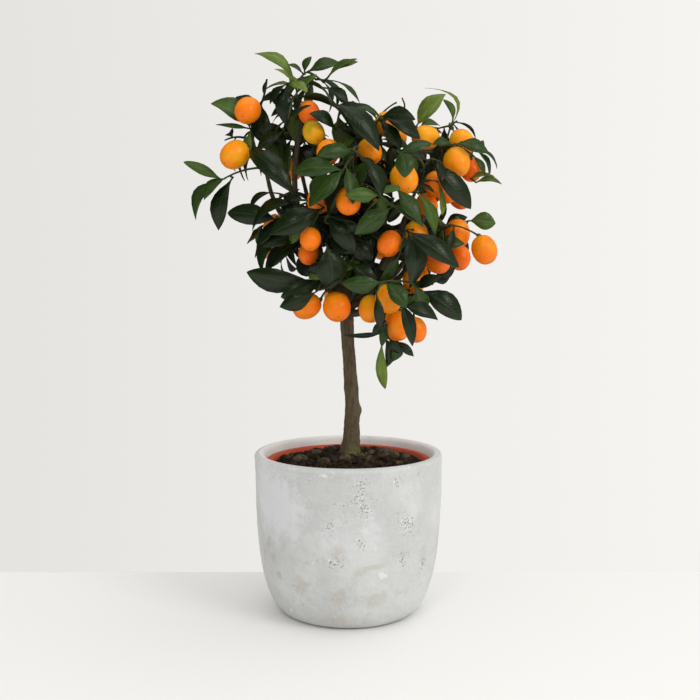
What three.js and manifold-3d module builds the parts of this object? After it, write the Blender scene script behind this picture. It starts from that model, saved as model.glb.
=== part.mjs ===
// Potted oval kumquat tree: a small grafted standard in a round-bottomed pot of fibre concrete.
// Millimetres, +Z up. The origin is the centre of the pot's flat underside, +X is right and +Y is back.
import * as THREE from "three";
import { mergeVertices } from "three/addons/utils/BufferGeometryUtils.js";
import Module from "manifold-3d";

const at = (x, y, z) => new THREE.Vector3(x, y, z);

// Clearance between neighbouring pieces
const GAP = 0.3;

// Outer pot: flat foot, belly that curves out of it, wall that still opens a little to the rim
const POT_HEIGHT = 160;
const POT_RADIUS = 95;
const POT_FOOT_RADIUS = 60;
const POT_BELLY_HEIGHT = 99;
const POT_BELLY_RADIUS = 92.6;
const POT_BELLY_FALL = 1.8;
const POT_BELLY_ROUND = 2.5;
const POT_WALL = 10;
const POT_FLOOR = 12;
const POT_SIDES = 28;
const POT_RINGS = [0, 3, 9, 20, 42, 72];
const POT_HOLLOW_RINGS = [62, 24];
const POT_HOLLOW_FOOT = 14;
const POT_HOLLOW_ROUND = 3;

// Grower's pot inside it, with a rolled rim
const GROWER_TOP_RADIUS = 79;
const GROWER_FOOT_RADIUS = 56;
const GROWER_TOP = 152;
const GROWER_WALL = 2;
const GROWER_RIM_RADIUS = 82.3;
const GROWER_RIM_DEPTH = 7;
const GROWER_RIM_BEVEL = 1.5;

// Soil, heaped round the trunk
const SOIL_EDGE = 147;
const SOIL_TOP = 155;
const SOIL_FLAT_RADIUS = 26;
const SOIL_RINGS = [60, 42];
const SOIL_FALL = 1.6;
const CLOD_COUNT = 8;
const CLOD_RADIUS = [5.5, 9.5];
const CLOD_SEED = 5;
const CLOD_EDGE_ROOM = 13;
const CLOD_BREADTH = [0.7, 1];
const CLOD_HEIGHT = [0.45, 0.62];

// Trunk: its middle line from the flat cut at the soil to the fork, and its radii
const TRUNK_LINE = [
  [1.5, 12, SOIL_TOP + GAP],
  [3.8, 12, 200],
  [2.2, 12, 232],
  [-1.2, 11, 280],
  [-3, 10, 322],
];
const TRUNK_RADIUS = 7.4;
const TRUNK_TOP_RADIUS = 6.2;
const ROOT_FLARE = 3.4;
const ROOT_FLARE_HEIGHT = 14;
const TRUNK_SUNK = 3;

// Limbs and twigs
const BOUGH_RADIUS = 4.2;
const SIDE_BOUGH_RADIUS = 2.9;
const BOUGH_TIP_RADIUS = 1.8;
const BOUGH_SHORT_OF_HEART = 17;
const STEM_RADIUS = 1.6;
const TWIG_RADIUS = 1.4;
const TWIG_ROOT_RADIUS = 0.35;
const STALK_RADIUS = 1;
const JOINT_CROWDING = 7;
const BOUGH_SIDES = 5;
const BOUGH_STEPS = 3;
const TWIG_SIDES = 3;
const TRUNK_SIDES = 9;
const TRUNK_STEPS = 12;
const LIMB_TAPER = 0.8;
const TWIG_BOWS = [
  [0, 0, 0.08],
  [0, 0.22, 0],
  [0, -0.22, 0],
  [0.2, 0, 0.1],
  [-0.2, 0, 0.1],
  [0, 0.1, -0.16],
];

// Leaves and fruits
const LEAF_WIDTH_SHARE = 0.42;
const LEAF_THICKNESS_SHARE = 0.016;
const LEAF_LENGTH = [38, 56];
const LEAF_ARCH = 0.07;
const LEAF_SPACING = 3.2;
const LEAF_DROOP = 0.22;
const LEAF_LEAN = [42, 68];
const LEAF_ROLL = 30;
const LEAF_SPIN_SPREAD = 20;
const LEAD_DEPTH = 8;
const LEAD_ROLL = 25;
const FACE_OUTWARD = 0.7;
const FACE_UP = 0.5;
const LEAD_TO_LIGHT = 0.9;
const FILL_TO_LIGHT = 0.35;
const GOLDEN_ANGLE = 137.5;
const DEPTH_TRIES = [0, -13, 13, -26, 26, -40, 40, -55, 55];
const SPIN_TRIES = [0, 45, -45, 90, -90, 135];
const FRUIT_SHIFTS = [0, 5, -5, 10, -10, 16, -16, 23, 31];
const LEAD_SHARES = [0.36, 0.56, 0.76];
const FILL_SHARES = [0.35, 0.5, 0.65, 0.78, 0.9, 0.98];
const FEWEST_LEAVES = 2;
const SHOOT_LENGTH = [20, 36];
const SHOOT_TRIES = 16;
const OUTWARD_SHARE = 0.55;
const PETIOLE_HALF = 0.38;
const FRUIT_RADIUS = 13.2;
const FRUIT_LENGTH_SHARE = 1.2;
const FRUIT_FACET_SIDE = 1.06;
const FRUIT_FACET_END = 1.03;

// Crown: the point that foliage faces away from, and how far back its leaves still turn to the light in front
const CROWN_MIDDLE = at(5, 15, 395);
const LIT_FROM = 15;
const LIT_TO = 55;

// Masses of foliage. heart is where the shoots of a mass part, and reach is how far its own space goes from
// there. limb is the bough that carries it: where that starts, how far along, and how it bows. A shoot is the
// place of its tip, then for each leaf the way it points as seen from the front, in degrees, its length and,
// where it isn't a usual leaf, its breadth as a share of a usual one's. A fruit is its middle, the way its
// far end points, its tilt towards the front and its size. fill is how many more shoots the seeded rule adds.
const MASSES = {
  top_left: {
    limb: ["trunk", 0.97, [-24, -4, -6]],
    heart: [-50, 3, 500],
    reach: [44, 38, 40],
    shoots: [
      [-51, -8, 522, [138, 52, 0.8], [178, 32], [112, 20]],
      [-40, 0, 535, [12, 36, 1.25], [72, 18]],
      [-24, -6, 523, [29, 42, 1], [-13, 40, 0.75], [-34, 32, 1.5]],
      [-58, -14, 502, [168, 34], [205, 22]],
      [-51, -18, 509, [46, 30, 0.9]],
    ],
    fruits: [
      [-38, -14, 493, -70, 0.5, 0.84],
      [-33, -26, 472, -60, 0.6, 0.82],
    ],
    fill: 1,
    seed: 11,
  },
  far_left: {
    limb: ["top_left", 0.38, [-6, 0, -10]],
    heart: [-90, -2, 452],
    reach: [38, 36, 44],
    shoots: [
      [-98, 2, 484, [144, 38, 1.8], [173, 34, 0.6], [-93, 28, 1.1]],
      [-85, 5, 507, [-84, 42, 1.25], [160, 26]],
      [-62, -8, 477, [212, 32]],
      [-127, -6, 428, [231, 46, 1], [168, 44, 0.9], [222, 30]],
      [-113, -3, 432, [256, 54, 0.9]],
    ],
    fruits: [
      [-97, -16, 495, -120, 0.8, 0.99],
      [-110, -16, 453, -135, 0.5, 1.04],
    ],
    fill: 2,
    seed: 41,
  },
  left_low: {
    limb: ["trunk", 0.93, [-4, -3, -8]],
    heart: [-50, -26, 380],
    reach: [44, 36, 40],
    shoots: [
      [-49, -42, 408, [131, 68, 1.05], [204, 50]],
      [-68, -30, 390, [171, 54], [244, 52]],
      [-22, -60, 399, [205, 56]],
      [-46, -36, 372, [215, 46], [190, 40]],
    ],
    fruits: [
      [-35, -64, 370, -90, 0.6, 0.84],
      [-40, -42, 356, -90, 0.7, 0.82],
      [-72, -14, 383, -90, 0.5, 0.9],
    ],
    fill: 3,
    seed: 13,
  },
  front: {
    limb: ["trunk", 0.98, [0, -12, -4]],
    heart: [4, -60, 418],
    reach: [44, 36, 42],
    shoots: [
      [4, -84, 450, [193, 38], [172, 34]],
      [-5, -92, 429, [179, 45], [226, 46], [-80, 36]],
      [12, -88, 442, [-62, 40], [-38, 30]],
      [28, -90, 408, [181, 32], [14, 22]],
      [40, -80, 398, [216, 42], [-30, 36]],
      [-22, -62, 387, [-6, 38, 1.3], [-52, 42]],
    ],
    fruits: [
      [-27, -44, 408, -110, 0.4, 0.94],
      [0, -80, 404, -90, 0.7, 0.94],
      [17, -60, 402, -90, 0.5, 0.9],
      [-19, -50, 451, -100, 0.5, 0.86],
    ],
    fill: 2,
    seed: 14,
  },
  centre_low: {
    limb: ["trunk", 0.88, [0, -6, -4]],
    heart: [-14, -36, 342],
    reach: [44, 36, 36],
    shoots: [
      [-21, -70, 366, [-81, 52, 1.3]],
      [-30, -40, 331, [174, 70], [205, 42], [150, 44]],
      [3, -58, 349, [215, 44], [-42, 36]],
      [22, -40, 370, [-122, 42, 1.1], [196, 36, 1.1]],
    ],
    fruits: [
      [-40, -34, 307, 205, 0.2, 0.96],
      [-11, -46, 307, -80, 0.8, 1.06],
    ],
    fill: 3,
    seed: 15,
  },
  top_middle: {
    limb: ["trunk", 0.99, [4, 4, 6]],
    heart: [20, -18, 470],
    reach: [42, 38, 34],
    shoots: [
      [-17, -40, 497, [-42, 70], [-15, 34], [-8, 38, 0.9]],
      [-12, -34, 473, [144, 28], [-15, 26]],
      [31, -48, 485, [-28, 46], [-8, 36], [-52, 34]],
      [4, -36, 500, [-20, 30], [35, 26]],
      [52, -10, 508],
    ],
    fruits: [
      [37, -20, 488, -60, 0.5, 0.92],
      [20, -48, 452, -60, 0.5, 0.95],
    ],
    fill: 2,
    seed: 16,
  },
  top_right: {
    limb: ["trunk", 0.95, [8, 2, -14]],
    heart: [96, -4, 460],
    reach: [40, 38, 34],
    shoots: [
      [65, -18, 480, [50, 42, 1.3], [20, 30]],
      [102, -2, 487, [106, 30, 0.8], [124, 38, 0.5], [158, 24], [62, 18]],
      [100, -38, 460, [-8, 34], [170, 26]],
      [130, -6, 458, [-38, 24], [-64, 28], [48, 16]],
      [120, -4, 430, [2, 38, 0.7]],
    ],
    fruits: [
      [74, -24, 468, 180, 0.5, 0.94],
      [111, -14, 469, -60, 0.6, 0.94],
      [103, -32, 444, -80, 0.6, 1.02],
      [125, 4, 438, -80, 0.5, 0.86],
    ],
    fill: 2,
    seed: 17,
  },
  right_middle: {
    limb: ["top_right", 0.3, [2, -8, 0]],
    heart: [68, -38, 425],
    reach: [34, 34, 32],
    shoots: [
      [44, -86, 447, [-80, 32], [20, 30]],
      [77, -52, 445, [-44, 60], [160, 30]],
      [63, -62, 413, [-62, 44]],
      [85, -46, 424, [-84, 32]],
      [42, -82, 416, [-53, 38]],
    ],
    fruits: [
      [51, -68, 425, -70, 0.7, 1.02],
      [80, -34, 424, -90, 0.5, 0.93],
      [95, -20, 419, -60, 0.5, 0.9],
      [76, -18, 404, -70, 0.4, 0.84],
      [111, 4, 414, -60, 0.5, 0.86],
    ],
    fill: 3,
    seed: 18,
  },
  right_low: {
    limb: ["trunk", 0.9, [8, -4, -8]],
    heart: [78, -26, 370],
    reach: [38, 38, 36],
    shoots: [
      [52, -72, 378, [-34, 60, 1.05], [-83, 54]],
      [119, -6, 390, [-4, 27, 1.55]],
      [101, -38, 384, [-110, 30]],
      [82, -20, 327, [37, 34], [8, 30]],
      [47, -66, 355, [237, 32]],
    ],
    fruits: [
      [38, -62, 366, 240, 0.3, 0.92],
      [106, -18, 377, -88, 0.1, 0.95],
      [111, 6, 354, -90, 0.5, 0.88],
      [130, -34, 361, -70, 0.2, 0.96],
      [85, -34, 350, -40, 0.5, 0.9],
      [67, -46, 381, -80, 0.5, 0.9],
      [70, -28, 342, -80, 0.5, 0.84],
    ],
    fill: 2,
    seed: 19,
  },
  low_right: {
    limb: ["trunk", 0.86, [4, -4, -4]],
    heart: [44, -36, 318],
    reach: [38, 34, 38],
    shoots: [
      [30, -86, 331, [183, 36], [-49, 32, 1.2]],
      [25, -88, 320, [-88, 34, 0.9]],
      [49, -84, 309, [-21, 36, 1.05], [-79, 44]],
      [69, -40, 323, [-32, 50, 1.4], [32, 28]],
      [33, -42, 275, [-104, 50, 0.8], [-116, 36], [172, 38, 0.7]],
      [48, -38, 273, [-102, 34], [-40, 24]],
    ],
    fruits: [
      [63, -30, 331, -80, 0.5, 0.86],
      [20, -46, 305, -95, 0.2, 0.95],
      [37, -58, 315, -70, 0.4, 0.94],
      [47, -48, 289, -95, 0.2, 0.98],
      [68, -32, 284, -80, 0.3, 0.88],
    ],
    fill: 2,
    seed: 20,
  },
  middle: {
    limb: ["trunk", 0.995, [0, 0, 0]],
    heart: [2, 14, 396],
    reach: [48, 40, 46],
    fill: 4,
    seed: 28,
  },
  back_left: {
    limb: ["trunk", 0.94, [-2, 8, -8]],
    heart: [-62, 52, 382],
    reach: [52, 50, 46],
    fruits: [
      [-86, 74, 368, -100, -0.5, 0.96],
      [-54, 86, 390, -80, -0.6, 1],
    ],
    fill: 6,
    seed: 21,
  },
  back_top_left: {
    limb: ["back_left", 0.3, [0, 6, -2]],
    heart: [-52, 50, 456],
    reach: [44, 46, 44],
    fruits: [
      [-60, 78, 450, -100, -0.5, 0.94],
      [-36, 72, 484, -70, -0.5, 0.9],
    ],
    fill: 5,
    seed: 22,
  },
  back_top: {
    limb: ["trunk", 0.98, [2, 12, 0]],
    heart: [22, 54, 462],
    reach: [50, 50, 42],
    fruits: [
      [2, 84, 456, -95, -0.5, 1],
      [34, 84, 446, -80, -0.6, 0.94],
      [50, 66, 482, -70, -0.4, 0.88],
    ],
    fill: 5,
    seed: 23,
  },
  back_middle: {
    limb: ["trunk", 0.96, [0, 14, -6]],
    heart: [12, 84, 392],
    reach: [52, 46, 46],
    fruits: [
      [-12, 98, 382, -90, -0.5, 0.96],
      [24, 98, 402, -85, -0.6, 1],
      [36, 94, 366, -80, -0.4, 0.9],
    ],
    fill: 6,
    seed: 24,
  },
  back_right: {
    limb: ["trunk", 0.92, [6, 8, -10]],
    heart: [78, 52, 376],
    reach: [52, 50, 46],
    fruits: [
      [98, 72, 370, -80, -0.5, 0.98],
      [68, 86, 392, -95, -0.6, 0.92],
    ],
    fill: 6,
    seed: 25,
  },
  back_top_right: {
    limb: ["back_right", 0.34, [4, 8, -4]],
    heart: [88, 54, 446],
    reach: [46, 46, 40],
    fruits: [
      [98, 76, 444, -80, -0.5, 0.96],
      [72, 78, 464, -100, -0.5, 0.9],
    ],
    fill: 4,
    seed: 26,
  },
  back_low: {
    limb: ["trunk", 0.86, [2, 6, -4]],
    heart: [12, 56, 328],
    reach: [50, 46, 36],
    fruits: [
      [-14, 74, 314, -100, -0.4, 0.96],
      [22, 80, 322, -80, -0.5, 0.98],
      [44, 58, 300, -80, -0.2, 0.9],
    ],
    fill: 4,
    seed: 27,
  },
};

// The growth rule

// Seeded draws between low and high, the same on every run
function dice(seed) {
  let state = seed * 7919 + 101;
  return (low, high) => {
    state = (state * 16807) % 2147483647;
    return low + ((high - low) * state) / 2147483647;
  };
}

const vector = (list) => at(list[0], list[1], list[2]);
const mix = (a, b, share) => a.clone().lerp(b, share);
const degrees = (angle) => (angle * Math.PI) / 180;

// A way as seen from the front: angle turns it from the right upwards, and depth turns it to the back
function wayOf(angle, depth) {
  const level = Math.cos(degrees(depth));
  return at(Math.cos(degrees(angle)) * level, Math.sin(degrees(depth)), Math.sin(degrees(angle)) * level);
}

// The part of want that is square to way, at length 1
function squareTo(want, way) {
  return want.clone().addScaledVector(way, -want.dot(way)).normalize();
}

function alongLine(line, share) {
  const steps = line.length - 1;
  const index = Math.min(Math.floor(share * steps), steps - 1);
  return mix(line[index], line[index + 1], share * steps - index);
}

// Evenly spaced points from start to end, with the middle moved by bow
function bowed(start, end, bow, steps) {
  return Array.from({ length: steps + 1 }, (_, index) => {
    const share = index / steps;
    return mix(start, end, share).addScaledVector(bow, 4 * share * (1 - share));
  });
}

// What is taken so far: small balls along every limb, twig, leaf and fruit, each with its owner
const taken = [];
const LEAF_BALL = 1.7;
const NEIGHBOUR_GAP = 0.9;

function isFree(balls, owner) {
  return balls.every(([place, radius]) =>
    taken.every((ball) => {
      const gap = ball.owner === owner ? 0 : NEIGHBOUR_GAP;
      return place.distanceTo(ball.place) > radius + ball.radius + gap;
    }),
  );
}

function take(balls, owner) {
  balls.forEach(([place, radius]) => taken.push({ place, radius, owner }));
}

function lineBalls(line, radiusAt, step, from) {
  let length = 0;
  for (let i = 1; i < line.length; i++) length += line[i].distanceTo(line[i - 1]);
  const count = Math.max(2, Math.round(length / step));
  const balls = [];
  for (let i = 0; i <= count; i++) {
    if (i / count >= from) balls.push([alongLine(line, i / count), radiusAt(i / count)]);
  }
  return balls;
}

// A leaf's middle line: a straight chord that rises to a low arch in the middle
function leafPoint(leaf, share) {
  return leaf.root
    .clone()
    .addScaledVector(leaf.way, leaf.length * share)
    .addScaledVector(leaf.face, LEAF_ARCH * leaf.length * 4 * share * (1 - share));
}

function leafBalls(leaf) {
  const side = leaf.way.clone().cross(leaf.face);
  const balls = [[leafPoint(leaf, 0.16), LEAF_BALL / 2]];
  for (const share of [0.25, 0.37, 0.5, 0.63, 0.75, 0.87, 0.98]) {
    balls.push([leafPoint(leaf, share), LEAF_BALL]);
  }
  for (const share of [0.34, 0.46, 0.58, 0.7]) {
    for (const hand of [-0.4, -0.2, 0.2, 0.4]) {
      balls.push([leafPoint(leaf, share).addScaledVector(side, hand * leaf.width), LEAF_BALL]);
    }
  }
  return balls;
}

function fruitBalls(fruit) {
  const end = fruit.radius * (fruit.stretch - 1);
  return [-1, 0, 1].map((hand) => [
    fruit.middle.clone().addScaledVector(fruit.way, hand * end),
    fruit.radius * (hand === 0 ? 1.07 : 1.02),
  ]);
}

// Boughs: each runs from its parent's middle line towards the heart of its mass and stops short of it
function growBoughs() {
  const trunk = TRUNK_LINE.map(vector);
  const lines = { trunk };
  const boughs = [];
  for (const [name, mass] of Object.entries(MASSES)) {
    const [parent, share, bow] = mass.limb;
    const start = alongLine(lines[parent], share);
    const heart = vector(mass.heart);
    const end = mix(heart, start, BOUGH_SHORT_OF_HEART / heart.distanceTo(start));
    lines[name] = bowed(start, end, vector(bow), 4);
    const radius = parent === "trunk" ? BOUGH_RADIUS : SIDE_BOUGH_RADIUS;
    boughs.push({ name, line: lines[name], radius });
    take(lineBalls(lines[name], (s) => limbRadius(radius, s), 6, 0), "limb");
  }
  take(lineBalls(trunk, () => TRUNK_RADIUS, 8, 0), "limb");
  return { trunk, boughs };
}

function limbRadius(radius, share) {
  return BOUGH_TIP_RADIUS + (radius - BOUGH_TIP_RADIUS) * (1 - share) ** LIMB_TAPER;
}

function newMass(name, mass, bough) {
  const heart = vector(mass.heart);
  const tip = bough.line[bough.line.length - 1];
  return {
    name,
    heart,
    reach: vector(mass.reach),
    rows: mass,
    roll: dice(mass.seed),
    stem: [mix(tip, heart, -0.05), mix(tip, heart, 0.5), heart],
    joints: [0.95, 0.75, 0.3].map((share) => ({ place: mix(tip, heart, share), carries: 0 })),
    twigs: [],
    leaves: [],
    fruits: [],
    stalks: [],
  };
}

const inReach = (mass, place) => place.clone().sub(mass.heart).divide(mass.reach).length() <= 1;

// What a mass holds now, so that a shoot that stays bare can come off again
const KINDS = ["twigs", "joints", "leaves", "fruits", "stalks"];
const countOf = (mass) => ({ mass: KINDS.map((kind) => mass[kind].length), taken: taken.length });

function cutBack(mass, count) {
  KINDS.forEach((kind, index) => (mass[kind].length = count.mass[index]));
  taken.length = count.taken;
}

// The nearest joint, where each piece that a joint already carries counts as some more distance
function nearestJoint(mass, place) {
  const cost = (joint) => joint.place.distanceTo(place) + joint.carries * JOINT_CROWDING;
  const best = mass.joints.reduce((found, joint) => (cost(joint) < cost(found) ? joint : found));
  best.carries += 1;
  return best.place;
}

// A twig from the nearest joint, bowed by the first of a few bows that keeps it clear
function growTwig(mass, tip, sure) {
  const start = nearestJoint(mass, tip);
  const length = start.distanceTo(tip);
  for (const bow of TWIG_BOWS) {
    const line = bowed(start, tip, vector(bow).multiplyScalar(length), 2);
    const balls = lineBalls(line, () => TWIG_RADIUS, 5, 0.3);
    if (isFree(balls, mass.name)) return keepTwig(mass, line, balls);
  }
  if (!sure) return null;
  const line = bowed(start, tip, vector(TWIG_BOWS[0]).multiplyScalar(length), 2);
  return keepTwig(mass, line, lineBalls(line, () => TWIG_RADIUS, 5, 0.3));
}

function keepTwig(mass, line, balls) {
  take(balls, mass.name);
  mass.twigs.push(line);
  const places = [mix(line[0], line[1], 0.5), mix(line[1], line[2], 0.5), mix(line[1], line[2], 0.93)];
  places.forEach((place) => mass.joints.push({ place, carries: 1 }));
  return line;
}

// A leaf on its chord from root along way, where it is clear. Its face turns outwards, up and to the light.
function growLeaf(mass, root, way, length, roll, isLead, breadth = 1) {
  const out = root.clone().addScaledVector(way, length / 2).sub(CROWN_MIDDLE).normalize();
  const lit = Math.min(1, Math.max(0, (LIT_TO - root.y) / (LIT_TO - LIT_FROM)));
  const toLight = isLead ? LEAD_TO_LIGHT : FILL_TO_LIGHT;
  const want = out.multiplyScalar(FACE_OUTWARD).add(at(0, -toLight * lit, FACE_UP));
  const face = squareTo(want, way).applyAxisAngle(way, degrees(roll));
  const leaf = { root, way, face, length, width: length * LEAF_WIDTH_SHARE * breadth, isLead };
  if (!isLead && !inReach(mass, leafPoint(leaf, 1))) return false;
  const balls = leafBalls(leaf);
  if (!isFree(balls, mass.name)) return false;
  take(balls, mass.name);
  mass.leaves.push(leaf);
  return true;
}

// A fruit, moved to the back or the front until it is clear
function growFruit(mass, middle, way, size) {
  for (const shift of FRUIT_SHIFTS) {
    const fruit = {
      middle: middle.clone().add(at(0, shift, 0)),
      way,
      radius: FRUIT_RADIUS * size,
      stretch: FRUIT_LENGTH_SHARE,
    };
    const balls = fruitBalls(fruit);
    if (!isFree(balls, mass.name)) continue;
    take(balls, mass.name);
    mass.fruits.push(fruit);
    return;
  }
}

// A stalk from the nearest joint to the top of each fruit that has none yet
function growStalks(mass) {
  for (const fruit of mass.fruits.slice(mass.stalks.length)) {
    const top = fruit.middle.clone().addScaledVector(fruit.way, -fruit.radius * fruit.stretch * 0.93);
    const joint = nearestJoint(mass, top);
    mass.stalks.push([joint, top]);
  }
}

// The named fruits of a mass, then its named shoots
function growLeadFruits(mass) {
  for (const [x, y, z, angle, tilt, size] of mass.rows.fruits ?? []) {
    growFruit(mass, at(x, y, z), wayOf(angle, (-180 / Math.PI) * Math.asin(tilt)), size);
  }
}

function growLeadTwigs(mass) {
  for (const shoot of mass.rows.shoots ?? []) growTwig(mass, vector(shoot), true);
  growStalks(mass);
}

// The root of the leaf that has this place in the fan at a twig's tip
function backFromTip(line, place) {
  const [, middle, tip] = line;
  return tip.clone().addScaledVector(tip.clone().sub(middle).normalize(), -LEAF_SPACING * (place + 0.25));
}

// The named leaves of a mass, each turned to the front or the back until it is clear
function growLeadLeaves(mass) {
  mass.twigs.slice().forEach((line, index) => {
    mass.rows.shoots[index].slice(3).forEach(([angle, length, breadth], place) => {
      const root = backFromTip(line, place);
      const depth = mass.roll(-LEAD_DEPTH, LEAD_DEPTH);
      const roll = mass.roll(-LEAD_ROLL, LEAD_ROLL);
      DEPTH_TRIES.some((turn) =>
        growLeaf(mass, root, wayOf(angle, depth + turn), length, roll, true, breadth),
      );
    });
  });
}

// Leaves round a twig, each turned on from the last by the golden angle, and further until it is clear
function dressTwig(mass, line, shares) {
  const along = line[2].clone().sub(line[1]).normalize();
  const across = squareTo(at(0.2, 0.1, 1), along);
  const start = mass.roll(0, 360);
  shares.forEach((share, index) => {
    const spin = start + index * GOLDEN_ANGLE + mass.roll(-LEAF_SPIN_SPREAD, LEAF_SPIN_SPREAD);
    const lean = degrees(mass.roll(...LEAF_LEAN));
    const length = mass.roll(...LEAF_LENGTH);
    const roll = mass.roll(-LEAF_ROLL, LEAF_ROLL);
    SPIN_TRIES.some((turn) => {
      const way = along.clone().multiplyScalar(Math.cos(lean));
      way.addScaledVector(across.clone().applyAxisAngle(along, degrees(spin + turn)), Math.sin(lean));
      way.z -= LEAF_DROOP;
      return growLeaf(mass, alongLine(line, share), way.normalize(), length, roll, false);
    });
  });
}

// A shoot that the seeded rule adds: from a joint, outwards, inside the mass's own space
function growShoot(mass, outward) {
  const joint = mass.joints[Math.floor(mass.roll(0, mass.joints.length * 0.999))].place;
  const way = at(mass.roll(-1, 1), mass.roll(-1, 1), mass.roll(-1, 1)).normalize();
  way.addScaledVector(outward, OUTWARD_SHARE).normalize();
  const tip = joint.clone().addScaledVector(way, mass.roll(...SHOOT_LENGTH));
  const line = inReach(mass, tip) ? growTwig(mass, tip, false) : null;
  if (!line) return false;
  const before = mass.leaves.length;
  dressTwig(mass, line, FILL_SHARES);
  return mass.leaves.length >= before + FEWEST_LEAVES;
}

function growFill(mass) {
  mass.twigs.slice().forEach((line) => dressTwig(mass, line, LEAD_SHARES));
  const outward = mass.heart.clone().sub(CROWN_MIDDLE).normalize();
  let shoots = 0;
  for (let tries = 0; tries < mass.rows.fill * SHOOT_TRIES && shoots < mass.rows.fill; tries++) {
    const count = countOf(mass);
    if (growShoot(mass, outward)) shoots += 1;
    else cutBack(mass, count);
  }
}

// Solids

const wasm = await Module();
wasm.setup();

// A closed geometry as a solid, with its shared vertices merged and its empty triangles left out
function solidOf(geometry) {
  geometry.deleteAttribute("normal");
  geometry.deleteAttribute("uv");
  const merged = mergeVertices(geometry, 1e-4);
  const corners = [];
  const index = merged.index.array;
  for (let i = 0; i < index.length; i += 3) {
    const [a, b, c] = [index[i], index[i + 1], index[i + 2]];
    if (a !== b && b !== c && c !== a) corners.push(a, b, c);
  }
  return new wasm.Manifold(
    new wasm.Mesh({
      numProp: 3,
      vertProperties: new Float32Array(merged.attributes.position.array),
      triVerts: new Uint32Array(corners),
    }),
  );
}

// The largest body of a solid: scraps go, and a sealed hollow is filled
function mainBody(solid) {
  return solid.decompose().reduce((best, body) => (body.volume() > best.volume() ? body : best));
}

// A cylinder or cone class grid, with each vertex sent to place(share along it, x and y in its section)
function shaped(geometry, place) {
  const grid = geometry.attributes.position;
  const spot = at(0, 0, 0);
  for (let i = 0; i < grid.count; i++) {
    spot.fromBufferAttribute(grid, i);
    place(Math.min(1, Math.max(0, spot.y + 0.5)), spot.x, spot.z, spot);
    grid.setXYZ(i, spot.x, spot.y, spot.z);
  }
  return solidOf(geometry);
}

// A limb: a round section of changing radius carried along a smooth line
function limbSolid(line, radiusAt, sides, steps, grow = 0) {
  const curve = new THREE.CatmullRomCurve3(line);
  const frames = curve.computeFrenetFrames(steps);
  return shaped(new THREE.CylinderGeometry(1, 1, 1, sides, steps), (share, x, y, spot) => {
    const index = Math.round(share * steps);
    const radius = radiusAt(share) + grow;
    spot.copy(curve.getPoint(share));
    spot.addScaledVector(frames.normals[index], x * radius);
    spot.addScaledVector(frames.binormals[index], -y * radius);
    if (index === steps) spot.addScaledVector(frames.tangents[index], grow);
  });
}

// A leaf: a flat three-sided section with its keel below, narrow at the root and drawn to a point. Each row is
// the share of the length and the half width there, as a share of the width.
const LEAD_LEAF = [[0, 0], [0.3, 0.46], [0.7, 0.44], [1, 0]];
const FILL_LEAF = [[0, 0], [0.5, 0.56], [1, 0]];

function leafSolid(leaf, grow = 0) {
  const side = leaf.face.clone().cross(leaf.way);
  const rows = leaf.isLead ? LEAD_LEAF : FILL_LEAF;
  const steps = rows.length - 1;
  return shaped(new THREE.ConeGeometry(1, 1, 3, steps), (share, x, y, spot) => {
    const index = Math.round(share * steps);
    const size = Math.hypot(x, y);
    spot.copy(leafPoint(leaf, rows[index][0]));
    if (size < 1e-6) return;
    const half = index === 0 ? PETIOLE_HALF : leaf.width * rows[index][1];
    const thick = index === 0 ? PETIOLE_HALF : leaf.length * LEAF_THICKNESS_SHARE;
    spot.addScaledVector(side, (x / size / 0.866) * (half + grow));
    spot.addScaledVector(leaf.face, (-y / size) * (thick + grow) * 0.67);
  });
}

// A fruit: an oval of few faces, a little larger than the round one so that its flats keep the outline
function fruitSolid(fruit, grow = 0) {
  const geometry = new THREE.SphereGeometry(1, 6, 4);
  const radius = fruit.radius + grow;
  const side = radius * FRUIT_FACET_SIDE;
  geometry.scale(side, radius * fruit.stretch * FRUIT_FACET_END, side);
  geometry.applyQuaternion(new THREE.Quaternion().setFromUnitVectors(at(0, 1, 0), fruit.way));
  geometry.translate(fruit.middle.x, fruit.middle.y, fruit.middle.z);
  return solidOf(geometry);
}

// A profile of radius and height spun about the Z axis
function spun(profile, sides) {
  const geometry = new THREE.LatheGeometry(
    profile.map(([radius, height]) => new THREE.Vector2(radius, height)),
    sides,
  );
  geometry.rotateX(Math.PI / 2);
  return solidOf(geometry);
}

// The pot's outer radius at a height: out of the foot on a rounded curve, then a slight opening to the rim
function potRadius(height) {
  if (height > POT_BELLY_HEIGHT) {
    const share = (height - POT_BELLY_HEIGHT) / (POT_HEIGHT - POT_BELLY_HEIGHT);
    return POT_BELLY_RADIUS + (POT_RADIUS - POT_BELLY_RADIUS) * share;
  }
  const rise = 1 - (1 - height / POT_BELLY_HEIGHT) ** POT_BELLY_FALL;
  return POT_FOOT_RADIUS + (POT_BELLY_RADIUS - POT_FOOT_RADIUS) * rise ** (1 / POT_BELLY_ROUND);
}

function potSolid() {
  const lip = POT_WALL / 2;
  const lipHeight = POT_HEIGHT - lip;
  const outer = [...POT_RINGS, lipHeight].map((height) => [potRadius(height), height]);
  const rim = [60, 90, 120].map((angle) => [
    POT_RADIUS - lip + lip * Math.cos(degrees(angle)),
    lipHeight + lip * Math.sin(degrees(angle)),
  ]);
  const inner = [lipHeight, ...POT_HOLLOW_RINGS].map((height) => [potRadius(height) - POT_WALL, height]);
  const floor = [[potRadius(POT_HOLLOW_FOOT) - POT_WALL - POT_HOLLOW_ROUND, POT_FLOOR], [0, POT_FLOOR]];
  return spun([[0, 0], ...outer, ...rim, ...inner, ...floor], POT_SIDES);
}

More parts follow.
